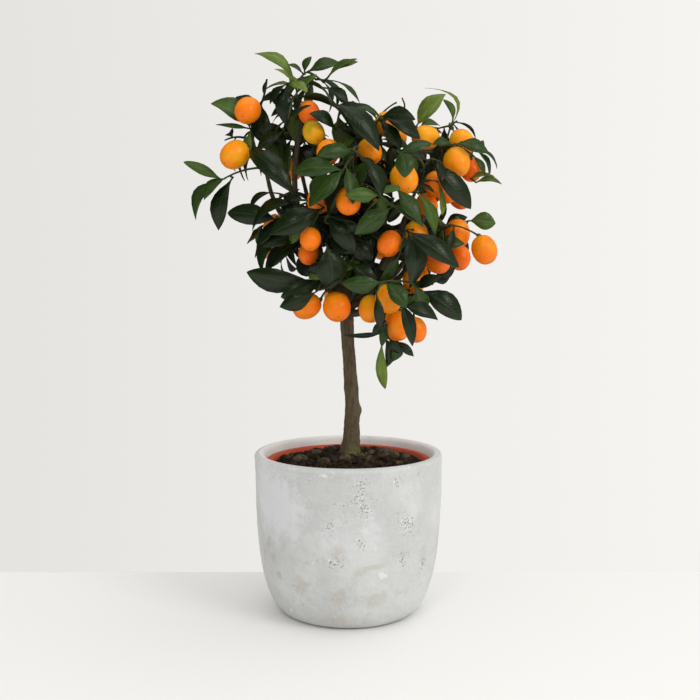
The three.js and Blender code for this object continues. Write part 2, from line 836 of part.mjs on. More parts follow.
// The grower's pot: tapered wall, flat bottom on the outer pot's floor, rolled rim
const GROWER_FOOT = POT_FLOOR + GAP;
const growerRadius = (height) =>
  GROWER_FOOT_RADIUS +
  ((GROWER_TOP_RADIUS - GROWER_FOOT_RADIUS) * (height - GROWER_FOOT)) / (GROWER_TOP - GROWER_FOOT);

function growerPotSolid() {
  const rimFoot = GROWER_TOP - GROWER_RIM_DEPTH;
  return spun(
    [
      [0, GROWER_FOOT],
      [GROWER_FOOT_RADIUS, GROWER_FOOT],
      [growerRadius(rimFoot), rimFoot],
      [GROWER_RIM_RADIUS, rimFoot],
      [GROWER_RIM_RADIUS, GROWER_TOP - GROWER_RIM_BEVEL],
      [GROWER_RIM_RADIUS - GROWER_RIM_BEVEL, GROWER_TOP],
      [growerRadius(GROWER_TOP) - GROWER_WALL + 1, GROWER_TOP],
      [growerRadius(GROWER_TOP - 1) - GROWER_WALL, GROWER_TOP - 1],
      [growerRadius(GROWER_FOOT + GROWER_WALL) - GROWER_WALL, GROWER_FOOT + GROWER_WALL],
      [0, GROWER_FOOT + GROWER_WALL],
    ],
    POT_SIDES,
  );
}

// Soil: fills the grower's pot, heaped to a flat middle where the trunk stands, with clods and stones on it
function soilHeight(radius) {
  const edge = growerRadius(SOIL_EDGE) - GROWER_WALL - GAP;
  const share = Math.min(1, Math.max(0, (radius - SOIL_FLAT_RADIUS) / (edge - SOIL_FLAT_RADIUS)));
  return SOIL_TOP - (SOIL_TOP - SOIL_EDGE) * share ** SOIL_FALL;
}

function soilSolid() {
  const foot = GROWER_FOOT + GROWER_WALL + GAP;
  const inner = (height) => growerRadius(height) - GROWER_WALL - GAP;
  const rings = [inner(SOIL_EDGE), ...SOIL_RINGS, SOIL_FLAT_RADIUS];
  const top = rings.map((radius) => [radius, soilHeight(radius)]);
  let soil = spun([[0, foot], [inner(foot), foot], ...top, [0, SOIL_TOP]], POT_SIDES);
  const roll = dice(CLOD_SEED);
  for (let count = 0; count < CLOD_COUNT; count++) {
    const angle = roll(0, Math.PI * 2);
    const radius = roll(SOIL_FLAT_RADIUS + 5, inner(SOIL_EDGE) - CLOD_EDGE_ROOM);
    const size = roll(...CLOD_RADIUS);
    const clod = new THREE.IcosahedronGeometry(size, 0);
    clod.scale(1, roll(...CLOD_BREADTH), roll(...CLOD_HEIGHT));
    clod.rotateZ(angle * 3);
    clod.translate(radius * Math.cos(angle), radius * Math.sin(angle), soilHeight(radius) - size * 0.1);
    soil = soil.add(solidOf(clod));
  }
  return mainBody(soil);
}

// The trunk swells to its root flare at the soil
function trunkRadius(share) {
  const height = share * (TRUNK_LINE[4][2] - TRUNK_LINE[0][2]);
  const taper = TRUNK_RADIUS + (TRUNK_TOP_RADIUS - TRUNK_RADIUS) * share;
  return taper + ROOT_FLARE * Math.exp(-height / ROOT_FLARE_HEIGHT);
}

// The trunk starts a little lower than the soil's top and is cut flat there
function trunkSolid(line, grow = 0) {
  const foot = line[0].clone();
  const sunk = [foot.clone().setZ(foot.z - TRUNK_SUNK), ...line.slice(1)];
  return limbSolid(sunk, trunkRadius, TRUNK_SIDES, TRUNK_STEPS, grow).trimByPlane([0, 0, 1], foot.z);
}

const near = (a, b) => {
  const [boxA, boxB] = [a.boundingBox(), b.boundingBox()];
  return [0, 1, 2].every((i) => boxA.min[i] <= boxB.max[i] && boxB.min[i] <= boxA.max[i]);
};

// Boughs are cut back GAP clear of the trunk and of each other where they start
function boughSolids(trunk, boughs) {
  const swollen = [trunkSolid(trunk, GAP)];
  return boughs.map((bough) => {
    const radiusAt = (share) => limbRadius(bough.radius, share);
    let solid = limbSolid(bough.line, radiusAt, BOUGH_SIDES, BOUGH_STEPS);
    for (const other of swollen) if (near(solid, other)) solid = solid.subtract(other);
    swollen.push(limbSolid(bough.line, radiusAt, BOUGH_SIDES, BOUGH_STEPS, GAP));
    return mainBody(solid);
  });
}

// A mass: stem, twigs, stalks, fruits and leaves joined. A piece that would touch a limb or another mass is left
// out.
function massSolid(mass, bough, limbs, others) {
  const radiusAt = (share) => limbRadius(bough.radius, share);
  const swollenBough = limbSolid(bough.line, radiusAt, BOUGH_SIDES, BOUGH_STEPS, GAP);
  const stem = limbSolid(mass.stem, () => STEM_RADIUS, BOUGH_SIDES, 2).subtract(swollenBough);
  const strangers = [...limbs, ...others];
  const meets = (solid) => strangers.some((other) => near(solid, other) && !solid.intersect(other).isEmpty());
  const twigRadius = (share) => (share === 0 ? TWIG_ROOT_RADIUS : TWIG_RADIUS);
  const stalkRadius = (share) => (share === 0 ? TWIG_ROOT_RADIUS : STALK_RADIUS);
  const makers = [
    ...mass.twigs.map((line) => (grow) => limbSolid(line, twigRadius, TWIG_SIDES, 2, grow)),
    ...mass.stalks.map((line) => (grow) => limbSolid(line, stalkRadius, TWIG_SIDES, 1, grow)),
    ...mass.fruits.map((fruit) => (grow) => fruitSolid(fruit, grow)),
    ...mass.leaves.map((leaf) => (grow) => leafSolid(leaf, grow)),
  ];
  const kept = makers.filter((make) => !meets(make(GAP))).map((make) => make(0));
  return mainBody(wasm.Manifold.union([mainBody(stem), ...kept]));
}

// The model

const CONCRETE = new THREE.MeshStandardMaterial({ color: 0xc8c8c4, roughness: 0.85, metalness: 0 });
const TERRACOTTA_PLASTIC = new THREE.MeshStandardMaterial({ color: 0xa8492c, roughness: 0.45, metalness: 0 });
const SOIL = new THREE.MeshStandardMaterial({ color: 0x3a2c1e, roughness: 1, metalness: 0 });
const BARK = new THREE.MeshStandardMaterial({ color: 0x54432e, roughness: 0.85, metalness: 0 });
const LEAF = new THREE.MeshStandardMaterial({ color: 0x2c4a26, roughness: 0.4, metalness: 0 });

const tree = new THREE.Group();

function addMesh(name, solid, material) {
  const made = solid.getMesh();
  const geometry = new THREE.BufferGeometry();
  geometry.setAttribute("position", new THREE.BufferAttribute(made.vertProperties, made.numProp));
  geometry.setIndex(new THREE.BufferAttribute(made.triVerts, 1));
  const mesh = new THREE.Mesh(geometry, material);
  mesh.name = name;
  tree.add(mesh);
}

const { trunk, boughs } = growBoughs();
const masses = Object.entries(MASSES).map(([name, rows], index) => newMass(name, rows, boughs[index]));
masses.forEach(growLeadFruits);
masses.forEach(growLeadTwigs);
masses.forEach(growLeadLeaves);
masses.forEach(growFill);

addMesh("pot", potSolid(), CONCRETE);
addMesh("grower_pot", growerPotSolid(), TERRACOTTA_PLASTIC);
addMesh("soil", soilSolid(), SOIL);
addMesh("trunk", trunkSolid(trunk), BARK);
const limbs = boughSolids(trunk, boughs);
limbs.forEach((solid, index) => addMesh("bough_" + boughs[index].name, solid, BARK));
const crown = [];
masses.forEach((mass, index) => {
  const solid = massSolid(mass, boughs[index], [trunkSolid(trunk), ...limbs], crown);
  crown.push(solid);
  addMesh("foliage_" + mass.name, solid, LEAF);
});

export default tree;
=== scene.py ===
"""Potted oval kumquat tree: the looks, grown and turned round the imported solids.

The growth rule works in millimetres, as the solids do, with the same names, sizes and seeded draws, and is
then carried to finer twigs inside the same reach. Every mesh is put in place in metres.
"""
import math

import bpy
import numpy as np
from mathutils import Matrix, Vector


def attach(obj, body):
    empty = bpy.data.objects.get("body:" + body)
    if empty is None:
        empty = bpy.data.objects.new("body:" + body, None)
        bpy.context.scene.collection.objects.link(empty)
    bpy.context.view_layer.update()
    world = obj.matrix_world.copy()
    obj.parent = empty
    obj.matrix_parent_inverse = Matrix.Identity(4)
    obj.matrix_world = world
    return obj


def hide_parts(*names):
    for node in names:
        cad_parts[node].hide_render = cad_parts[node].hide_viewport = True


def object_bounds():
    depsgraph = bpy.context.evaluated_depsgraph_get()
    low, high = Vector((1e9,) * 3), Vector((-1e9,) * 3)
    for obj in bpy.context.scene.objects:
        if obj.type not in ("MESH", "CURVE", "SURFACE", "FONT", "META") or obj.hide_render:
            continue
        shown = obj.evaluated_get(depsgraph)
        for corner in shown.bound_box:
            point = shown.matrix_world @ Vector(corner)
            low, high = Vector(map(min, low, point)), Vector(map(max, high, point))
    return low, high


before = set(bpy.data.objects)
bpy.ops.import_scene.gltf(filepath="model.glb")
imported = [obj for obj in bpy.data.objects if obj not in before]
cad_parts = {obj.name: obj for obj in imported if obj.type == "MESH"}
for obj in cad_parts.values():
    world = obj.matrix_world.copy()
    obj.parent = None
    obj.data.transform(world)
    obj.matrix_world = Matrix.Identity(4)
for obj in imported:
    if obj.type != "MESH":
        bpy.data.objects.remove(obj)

CAD_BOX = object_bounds()
MM = 0.001
at = lambda *place: np.array(place, float)

# Outer pot
POT_HEIGHT = 160
POT_RADIUS = 95
POT_FOOT_RADIUS = 60
POT_BELLY_HEIGHT = 99
POT_BELLY_RADIUS = 92.6
POT_BELLY_FALL = 1.8
POT_BELLY_ROUND = 2.5
POT_WALL = 10
POT_FLOOR = 12

# Grower's pot
GAP = 0.3
GROWER_TOP_RADIUS = 79
GROWER_FOOT_RADIUS = 56
GROWER_TOP = 152
GROWER_WALL = 2
GROWER_RIM_RADIUS = 82.3
GROWER_RIM_DEPTH = 7
GROWER_LIP = 1.5
GROWER_FOOT = POT_FLOOR + GAP

# Soil
SOIL_EDGE = 147
SOIL_TOP = 155
SOIL_FLAT_RADIUS = 26
SOIL_FALL = 1.6

# Trunk, limbs and twigs
TRUNK_SUNK = 3
TRUNK_LINE = at(
    [1.5, 12, SOIL_TOP - TRUNK_SUNK], [3.8, 12, 200], [2.2, 12, 232], [-1.2, 11, 280], [-3, 10, 322],
)
TRUNK_RADIUS = 7.4
TRUNK_TOP_RADIUS = 6.2
ROOT_FLARE = 3.4
ROOT_FLARE_HEIGHT = 14
BOUGH_RADIUS = 4.2
SIDE_BOUGH_RADIUS = 2.9
BOUGH_TIP_RADIUS = 1.8
BOUGH_SHORT_OF_HEART = 17
LIMB_TAPER = 0.8
STEM_JOINTS = (0.95, 0.75, 0.3)
STEM_RADIUS = 1.6
TWIG_RADIUS = 1.4
TWIG_JOINT = 0.93
JOINT_CROWDING = 7
TWIG_BOWS = at([0, 0, 0.08], [0, 0.22, 0], [0, -0.22, 0], [0.2, 0, 0.1], [-0.2, 0, 0.1], [0, 0.1, -0.16])

# Leaves and fruits
LEAF_WIDTH_SHARE = 0.42
LEAF_LENGTH = (38, 56)
LEAF_ARCH = 0.07
LEAF_SPACING = 3.2
LEAF_DROOP = 0.22
LEAF_LEAN = (42, 68)
LEAF_ROLL = 30
LEAF_SPIN_SPREAD = 20
LEAD_DEPTH = 8
LEAD_ROLL = 25
FACE_OUTWARD = 0.7
FACE_UP = 0.5
LEAD_TO_LIGHT = 0.9
FILL_TO_LIGHT = 0.35
GOLDEN_ANGLE = 137.5
DEPTH_TRIES = (0, -13, 13, -26, 26, -40, 40, -55, 55)
SPIN_TRIES = (0, 45, -45, 90, -90, 135)
FRUIT_SHIFTS = (0, 5, -5, 10, -10, 16, -16, 23, 31)
LEAD_SHARES = (0.36, 0.56, 0.76)
FILL_SHARES = (0.35, 0.5, 0.65, 0.78, 0.9, 0.98)
FEWEST_LEAVES = 2
SHOOT_LENGTH = (20, 36)
SHOOT_TRIES = 16
OUTWARD_SHARE = 0.55
FRUIT_RADIUS = 13.2
FRUIT_LENGTH_SHARE = 1.2
STALK_SHARE = 0.93
CROWN_MIDDLE = at(5, 15, 395)
CROWN_REACH = at(130, 105, 120)
LIT_FROM = 15
LIT_TO = 55

# The balls that keep pieces apart, and how far apart they sit along a limb, the trunk and a twig
LEAF_BALL = 1.7
NEIGHBOUR_GAP = 0.9
WIDEST_BALL = 18
LIMB_STEP = 6
TRUNK_STEP = 8
TWIG_STEP = 5
TWIG_BALLS_FROM = 0.3
LEAF_FOOT_BALL = 0.16
LEAF_MIDDLE_BALLS = (0.25, 0.37, 0.5, 0.63, 0.75, 0.87, 0.98)
LEAF_SIDE_BALLS = [(share, hand) for share in (0.34, 0.46, 0.58, 0.7) for hand in (-0.4, -0.2, 0.2, 0.4)]
FRUIT_BALLS = at(1.02, 1.07, 1.02)

# Masses of foliage, with the same rows as the solids. tints gives each shoot's leaves their green, ripe gives
# each fruit its colour, and fine is how many finer shoots the mass takes where that isn't the usual number.
MASSES = {
    "top_left": dict(
        limb=("trunk", 0.97, (-24, -4, -6)), heart=(-50, 3, 500), reach=(44, 38, 40), fill=1, seed=11, fine=5,
        shoots=[
            (-51, -8, 522, (138, 52, 0.8), (178, 32), (112, 20)),
            (-40, 0, 535, (12, 36, 1.25), (72, 18)),
            (-24, -6, 523, (29, 42, 1), (-13, 40, 0.75), (-34, 32, 1.5)),
            (-58, -14, 502, (168, 34), (205, 22)),
            (-51, -18, 509, (46, 30, 0.9)),
        ],
        fruits=[(-38, -14, 493, -70, 0.5, 0.84), (-33, -26, 472, -60, 0.6, 0.82)],
        tints=("light", "mid", "mid", "dark", "light"), ripe=("deep", "olive"),
    ),
    "far_left": dict(
        limb=("top_left", 0.38, (-6, 0, -10)), heart=(-90, -2, 452), reach=(38, 36, 44),
        fill=2, seed=41, fine=5,
        shoots=[
            (-98, 2, 484, (144, 38, 1.8), (173, 34, 0.6), (-93, 28, 1.1)),
            (-85, 5, 507, (-84, 42, 1.25), (160, 26)),
            (-62, -8, 477, (212, 32)),
            (-127, -6, 428, (231, 46, 1), (168, 44, 0.9), (222, 30)),
            (-113, -3, 432, (256, 54, 0.9)),
        ],
        fruits=[(-97, -16, 495, -120, 0.8, 0.99), (-110, -16, 453, -135, 0.5, 1.04)],
        tints=("light", "dark", "dark", "mid", "dark"), ripe=("orange", "yellow"),
    ),
    "left_low": dict(
        limb=("trunk", 0.93, (-4, -3, -8)), heart=(-50, -26, 380), reach=(44, 36, 40),
        fill=3, seed=13, fine=14,
        shoots=[
            (-49, -42, 408, (131, 68, 1.05), (204, 50)),
            (-68, -30, 390, (171, 54), (244, 52)),
            (-22, -60, 399, (205, 56)),
            (-46, -36, 372, (215, 46), (190, 40)),
        ],
        fruits=[
            (-35, -64, 370, -90, 0.6, 0.84),
            (-40, -42, 356, -90, 0.7, 0.82),
            (-72, -14, 383, -90, 0.5, 0.9),
        ],
        tints=("dark", "dark", "dark", "dark"), ripe=("orange", "deep", "yellow"),
    ),
    "front": dict(
        limb=("trunk", 0.98, (0, -12, -4)), heart=(4, -60, 418), reach=(44, 36, 42), fill=2, seed=14, fine=14,
        shoots=[
            (4, -84, 450, (193, 38), (172, 34)),
            (-5, -92, 429, (179, 45), (226, 46), (-80, 36)),
            (12, -88, 442, (-62, 40), (-38, 30)),
            (28, -90, 408, (181, 32), (14, 22)),
            (40, -80, 398, (216, 42), (-30, 36)),
            (-22, -62, 387, (-6, 38, 1.3), (-52, 42)),
        ],
        fruits=[
            (-27, -44, 408, -110, 0.4, 0.94),
            (0, -80, 404, -90, 0.7, 0.94),
            (17, -60, 402, -90, 0.5, 0.9),
            (-19, -50, 451, -100, 0.5, 0.86),
        ],
        tints=("mid", "mid", "dark", "light", "mid", "dark"), ripe=("orange", "orange", "deep", "orange"),
    ),
    "centre_low": dict(
        limb=("trunk", 0.88, (0, -6, -4)), heart=(-14, -36, 342), reach=(44, 36, 36),
        fill=3, seed=15, fine=16,
        shoots=[
            (-21, -70, 366, (-81, 52, 1.3)),
            (-30, -40, 331, (174, 70), (205, 42), (150, 44)),
            (3, -58, 349, (215, 44), (-42, 36)),
            (22, -40, 370, (-122, 42, 1.1), (196, 36, 1.1)),
        ],
        fruits=[(-40, -34, 307, 205, 0.2, 0.96), (-11, -46, 307, -80, 0.8, 1.06)],
        tints=("dark", "dark", "dark", "dark"), ripe=("orange", "orange"),
    ),
    "top_middle": dict(
        limb=("trunk", 0.99, (4, 4, 6)), heart=(20, -18, 470), reach=(42, 38, 34), fill=2, seed=16,
        shoots=[
            (-17, -40, 497, (-42, 70), (-15, 34), (-8, 38, 0.9)),
            (-12, -34, 473, (144, 28), (-15, 26)),
            (31, -48, 485, (-28, 46), (-8, 36), (-52, 34)),
            (4, -36, 500, (-20, 30), (35, 26)),
            (52, -10, 508),
        ],
        fruits=[(37, -20, 488, -60, 0.5, 0.92), (20, -48, 452, -60, 0.5, 0.95)],
        tints=("dark", "dark", "dark", "mid", "dark"), ripe=("yellow", "yellow"),
    ),
    "top_right": dict(
        limb=("trunk", 0.95, (8, 2, -14)), heart=(96, -4, 460), reach=(40, 38, 34), fill=2, seed=17,
        shoots=[
            (65, -18, 480, (50, 42, 1.3), (20, 30)),
            (102, -2, 487, (106, 30, 0.8), (124, 38, 0.5, -0.3), (158, 24), (62, 18)),
            (100, -38, 460, (-8, 34), (170, 26)),
            (130, -6, 458, (-38, 24), (-64, 28), (48, 16)),
            (120, -4, 430, (2, 38, 0.7)),
        ],
        fruits=[
            (74, -24, 468, 180, 0.5, 0.94),
            (111, -14, 469, -60, 0.6, 0.94),
            (103, -32, 444, -80, 0.6, 1.02),
            (125, 4, 438, -80, 0.5, 0.86),
        ],
        tints=("light", "light", "mid", "mid", "light"), ripe=("yellow", "yellow", "yellow", "deep"),
    ),
    "right_middle": dict(
        limb=("top_right", 0.3, (2, -8, 0)), heart=(68, -38, 425), reach=(34, 34, 32), fill=3, seed=18,
        shoots=[
            (44, -86, 447, (-80, 32), (20, 30)),
            (77, -52, 445, (-44, 60), (160, 30)),
            (63, -62, 413, (-62, 44)),
            (85, -46, 424, (-84, 32)),
            (42, -82, 416, (-53, 38)),
        ],
        fruits=[
            (51, -68, 425, -70, 0.7, 1.02),
            (80, -34, 424, -90, 0.5, 0.93),
            (95, -20, 419, -60, 0.5, 0.9),
            (76, -18, 404, -70, 0.4, 0.84),
            (111, 4, 414, -60, 0.5, 0.86),
        ],
        tints=("mid", "dark", "light", "light", "mid"), ripe=("yellow", "orange", "orange", "orange", "deep"),
    ),
    "right_low": dict(
        limb=("trunk", 0.9, (8, -4, -8)), heart=(78, -26, 370), reach=(38, 38, 36), fill=2, seed=19,
        shoots=[
            (52, -72, 378, (-34, 60, 1.05), (-83, 54)),
            (119, -6, 390, (-4, 27, 1.55)),
            (101, -38, 384, (-110, 30)),
            (82, -20, 327, (37, 34), (8, 30)),
            (47, -66, 355, (237, 32)),
        ],
        fruits=[
            (38, -62, 366, 240, 0.3, 0.92),
            (106, -18, 377, -88, 0.1, 0.95),
            (111, 6, 354, -90, 0.5, 0.88),
            (130, -34, 361, -70, 0.2, 0.96),
            (85, -34, 350, -40, 0.5, 0.9),
            (67, -46, 381, -80, 0.5, 0.9),
            (70, -28, 342, -80, 0.5, 0.84),
        ],
        tints=("dark", "mid", "dark", "dark", "mid"),
        ripe=("deep", "orange", "deep", "orange", "deep", "yellow", "yellow"),
    ),
    "low_right": dict(
        limb=("trunk", 0.86, (4, -4, -4)), heart=(44, -36, 318), reach=(38, 34, 38), fill=2, seed=20, fine=14,
        shoots=[
            (30, -86, 331, (183, 36), (-49, 32, 1.2)),
            (25, -88, 320, (-88, 34, 0.9)),
            (49, -84, 309, (-21, 36, 1.05), (-79, 44)),
            (69, -40, 323, (-32, 50, 1.4), (32, 28)),
            (33, -42, 275, (-104, 50, 0.8), (-116, 36), (172, 38, 0.7)),
            (48, -38, 273, (-102, 34), (-40, 24)),
        ],
        fruits=[
            (63, -30, 331, -80, 0.5, 0.86),
            (20, -46, 305, -95, 0.2, 0.95),
            (37, -58, 315, -70, 0.4, 0.94),
            (47, -48, 289, -95, 0.2, 0.98),
            (68, -32, 284, -80, 0.3, 0.88),
        ],
        tints=("mid", "mid", "dark", "dark", "light", "mid"),
        ripe=("yellow", "yellow", "yellow", "orange", "orange"),
    ),
    "middle": dict(
        limb=("trunk", 0.995, (0, 0, 0)), heart=(2, 14, 396), reach=(48, 40, 46), fill=4, seed=28, fine=18,
    ),
    "back_left": dict(
        limb=("trunk", 0.94, (-2, 8, -8)), heart=(-62, 52, 382), reach=(52, 50, 46), fill=6, seed=21, fine=14,
        fruits=[(-86, 74, 368, -100, -0.5, 0.96), (-54, 86, 390, -80, -0.6, 1)],
        ripe=("orange", "yellow"),
    ),
    "back_top_left": dict(
        limb=("back_left", 0.3, (0, 6, -2)), heart=(-52, 50, 456), reach=(44, 46, 44), fill=5, seed=22,
        fruits=[(-60, 78, 450, -100, -0.5, 0.94), (-36, 72, 484, -70, -0.5, 0.9)],
        ripe=("yellow", "orange"),
    ),
    "back_top": dict(
        limb=("trunk", 0.98, (2, 12, 0)), heart=(22, 54, 462), reach=(50, 50, 42), fill=5, seed=23,
        fruits=[(2, 84, 456, -95, -0.5, 1), (34, 84, 446, -80, -0.6, 0.94), (50, 66, 482, -70, -0.4, 0.88)],
        ripe=("orange", "orange", "yellow"),
    ),
    "back_middle": dict(
        limb=("trunk", 0.96, (0, 14, -6)), heart=(12, 84, 392), reach=(52, 46, 46), fill=6, seed=24, fine=14,
        fruits=[(-12, 98, 382, -90, -0.5, 0.96), (24, 98, 402, -85, -0.6, 1), (36, 94, 366, -80, -0.4, 0.9)],
        ripe=("deep", "orange", "yellow"),
    ),
    "back_right": dict(
        limb=("trunk", 0.92, (6, 8, -10)), heart=(78, 52, 376), reach=(52, 50, 46), fill=6, seed=25, fine=14,
        fruits=[(98, 72, 370, -80, -0.5, 0.98), (68, 86, 392, -95, -0.6, 0.92)],
        ripe=("yellow", "orange"),
    ),
    "back_top_right": dict(
        limb=("back_right", 0.34, (4, 8, -4)), heart=(88, 54, 446), reach=(46, 46, 40), fill=4, seed=26,
        fruits=[(98, 76, 444, -80, -0.5, 0.96), (72, 78, 464, -100, -0.5, 0.9)],
        ripe=("orange", "deep"),
    ),
    "back_low": dict(
        limb=("trunk", 0.86, (2, 6, -4)), heart=(12, 56, 328), reach=(50, 46, 36), fill=4, seed=27, fine=16,
        fruits=[
            (-14, 74, 314, -100, -0.4, 0.96),
            (22, 80, 322, -80, -0.5, 0.98),
            (44, 58, 300, -80, -0.2, 0.9),
        ],
        ripe=("yellow", "orange", "deep"),
    ),
}

# Named leaves as they finish: the mass, the shoot and the leaf, then the share of the solid's breadth that
# the blade takes, its green, how far it turns in the front view, the share of its length, and how far it bows
# to its side. A leaf with share 0 is left out.
FINISHED_LEAVES = {
    ("top_left", 0, 0): (0.74, "light", 0, 1, -0.1),
    ("top_left", 0, 1): (0.8, "light"),
    ("top_left", 2, 0): (1.15, "fresh", 2, 1.02),
    ("top_left", 2, 1): (1, "mid", -9, 1.08),
    ("top_left", 4, 0): (0.85, "fresh"),
    ("far_left", 0, 0): (1.2, "fresh", 0, 1.16),
    ("far_left", 0, 1): (0.7, "fresh"),
    ("far_left", 3, 0): (0.85, "mid", -2, 1, -0.14),
    ("far_left", 3, 1): (0.6, "fresh", -13, 0.95),
    ("far_left", 4, 0): (0.9, "dark", -4, 1, -0.06),
    ("left_low", 0, 0): (0.75, "dark"),
    ("left_low", 1, 0): (0.85, "dark"),
    ("front", 0, 1): (1, "mid", 15),
    ("front", 3, 0): (1, "fresh"),
    ("front", 3, 1): (0.9, "fresh"),
    ("centre_low", 0, 0): (1, "dark", 0, 0.83),
    ("centre_low", 1, 0): (0.8, "dark"),
    ("top_middle", 1, 0): (1.3, "dark", 7, 1.05),
    ("top_middle", 2, 0): (1, "dark", 0, 0.92),
    ("top_middle", 3, 0): (0.9, "dark", -15, 0.95),
    ("top_middle", 3, 1): (0, "dark"),
    ("top_right", 0, 0): (0.9, "light", 3, 0.98, -0.02),
    ("top_right", 0, 1): (0.9, "fresh"),
    ("top_right", 1, 0): (0.7, "fresh", 4, 0.8, -0.14),
    ("top_right", 1, 1): (0.55, "light", -8, 1.36, -0.36),
    ("top_right", 1, 2): (0, "light"),
    ("top_right", 2, 1): (0.9, "mid", 8, 0.75),
    ("right_middle", 0, 0): (1.3, "mid", 4, 0.8, 0.14),
    ("right_middle", 1, 0): (0.82, "dark", -4),
    ("right_middle", 2, 0): (0.8, "fresh"),
    ("right_middle", 3, 0): (0.6, "light"),
    ("right_low", 0, 0): (0.72, "dark"),
    ("right_low", 1, 0): (1, "fresh"),
    ("right_low", 2, 0): (0.7, "dark"),
    ("right_low", 3, 0): (0.9, "dark", 0, 0.82),
    ("right_low", 3, 1): (0.9, "dark", 0, 0.75),
    ("low_right", 1, 0): (0.7, "dark"),
    ("low_right", 2, 1): (0.8, "dark", 4, 0.95),
    ("low_right", 3, 0): (0.8, "dark", -4),
    ("low_right", 4, 0): (0.66, "light", 19, 1, -0.1),
    ("low_right", 4, 1): (0.8, "dark", 33, 0.95, 0.14),
    ("low_right", 4, 2): (0.5, "dark", 13),
    ("low_right", 5, 0): (0.75, "mid", 0, 0.6),
    ("low_right", 5, 1): (0.8, "dark"),
}

# Named fruits as they finish: the mass and the fruit, then how far it moves to the right and up, and the
# share of its size
FINISHED_FRUITS = {
    ("top_middle", 0): (0, -7, 0.97),
    ("top_middle", 1): (0, 0, 0.92),
    ("top_right", 1): (-1, -4, 1),
    ("top_right", 3): (-4, 3, 1),
    ("right_middle", 1): (3, -1, 0.93),
    ("right_low", 0): (0, 0, 0.94),
    ("right_low", 5): (-3, -6, 1),
    ("left_low", 0): (0, 0, 0.93),
    ("left_low", 1): (2, 1, 0.93),
    ("low_right", 1): (1, 0, 0.95),
    ("low_right", 4): (-3, 0, 0.95),
}

# The middle of a named twig that bends up before its tip
BENT_TWIGS = {("top_middle", 4): at(52, -10, 493)}

# Further leaves that show at the front, each on a finer twig of its mass: where it starts, its angle, its
# length, its breadth, how far it bows to its side, and its green
FRONT_LEAVES = [
    ("top_middle", (31, -42, 483), -29, 39, 0.98, 0.1, "dark"),
    ("top_middle", (33, -41, 480), -54, 32, 0.9, 0, "dark"),
    ("top_middle", (31, -52, 481), 156, 26, 0.67, -0.05, "mid"),
    ("top_middle", (-16, -68, 494), -43, 62, 0.8, 0.08, "dark"),
    ("top_middle", (-25, -30, 514), -29, 30, 1.03, 0.05, "dark"),
    ("top_middle", (48, -40, 462), -118, 24, 1.1, 0, "dark"),
    ("top_right", (102, -28, 459), -7, 22, 0.92, 0.25, "mid"),
    ("top_right", (125, -6, 427), 3, 26, 0.66, 0.09, "fresh"),
    ("top_right", (118, -30, 451), -59, 23, 0.85, 0.05, "mid"),
    ("far_left", (-79, -8, 526), -101, 16, 0.69, 0, "dark"),
    ("top_left", (-54, -10, 522), 141, 22, 0.71, 0, "light"),
    ("top_left", (-44, -8, 531), 147, 17, 1, 0, "mid"),
    ("top_left", (-20, -14, 526), 31, 33, 0.84, 0.08, "fresh"),
    ("right_middle", (52, -42, 413), -118, 30, 0.97, 0, "deep"),
    ("front", (-22, -60, 386), -9, 34, 1.3, 0.05, "deep"),
    ("front", (0, -56, 370), -42, 30, 1.3, 0, "deep"),
    ("centre_low", (24, -52, 349), -138, 31, 1.2, 0, "deep"),
    ("centre_low", (-29, -62, 322), -157, 38, 1.1, 0.05, "dark"),
    ("top_left", (-56, -48, 481), 31, 25, 0.75, 0, "dark"),
    ("left_low", (-72, -20, 416), 209, 29, 0.66, -0.14, "dark"),
    ("low_right", (35, -60, 294), -135, 18, 1.3, 0, "dark"),
    ("low_right", (37, -60, 279), -54, 19, 1, 0, "dark"),
    ("low_right", (32, -58, 294), -92, 24, 0.85, 0.05, "mid"),
]

# Places among the foliage where the photo shows sky or a whole fruit, as seen from the front at the depth of
# the axis: the middle across and up, and the reach across and up. No leaf of the rule's own has its middle
# there.
SKY_WINDOWS = at(
    [111, 371, 5, 5], [-103, 424, 14, 11], [-81, 397, 16, 10], [-88, 419, 9, 7], [-72, 439, 7, 9],
    [-60, 437, 7, 9], [-51, 444, 7, 9], [-23, 476, 5, 4],
)
PHOTO_PLACE = at(1.5, -950, 340)

# Finer growth, past the solids' own: how many small shoots a mass takes, and their sizes
FINE_SHOOTS = 9
FINE_TRIES = 10
FINE_SHOOT_LENGTH = (12, 26)
FINE_LEAF_LENGTH = (24, 44)
FINE_SHARES = (0.4, 0.58, 0.74, 0.88, 0.98)
FINE_BALL = 1.2
FRONT_TRIES = (*DEPTH_TRIES[:5], 0)
BOX_MARGIN = 3


# The growth rule


def dice(seed):
    """Seeded draws between low and high: each state is the last times 16807, modulo the prime 2147483647."""
    state = seed * 7919 + 101

    def roll(low, high):
        nonlocal state
        state = state * 16807 % 2147483647
        return low + (high - low) * state / 2147483647

    return roll


def unit(vector):
    return vector / np.linalg.norm(vector)


def mix(a, b, share):
    return a + (b - a) * share


def way_of(angle, depth):
    """A way as seen from the front: angle turns it from the right upwards, and depth turns it to the back."""
    angle, depth = math.radians(angle), math.radians(depth)
    return at(math.cos(angle) * math.cos(depth), math.sin(depth), math.sin(angle) * math.cos(depth))


def square_to(want, way):
    """The part of want that is square to way, at length 1."""
    return unit(want - way * (want @ way))


def turned(vector, axis, angle):
    """vector, square to axis, turned about it: its cosine part plus the sine part of axis x vector."""
    angle = math.radians(angle)
    return vector * math.cos(angle) + np.cross(axis, vector) * math.sin(angle)


def filled(row, usual):
    """A row, with what it leaves out at its end as usual."""
    return (*row, *usual[len(row):])


def along_line(line, share):
    steps = len(line) - 1
    index = min(int(share * steps), steps - 1)
    return mix(line[index], line[index + 1], share * steps - index)


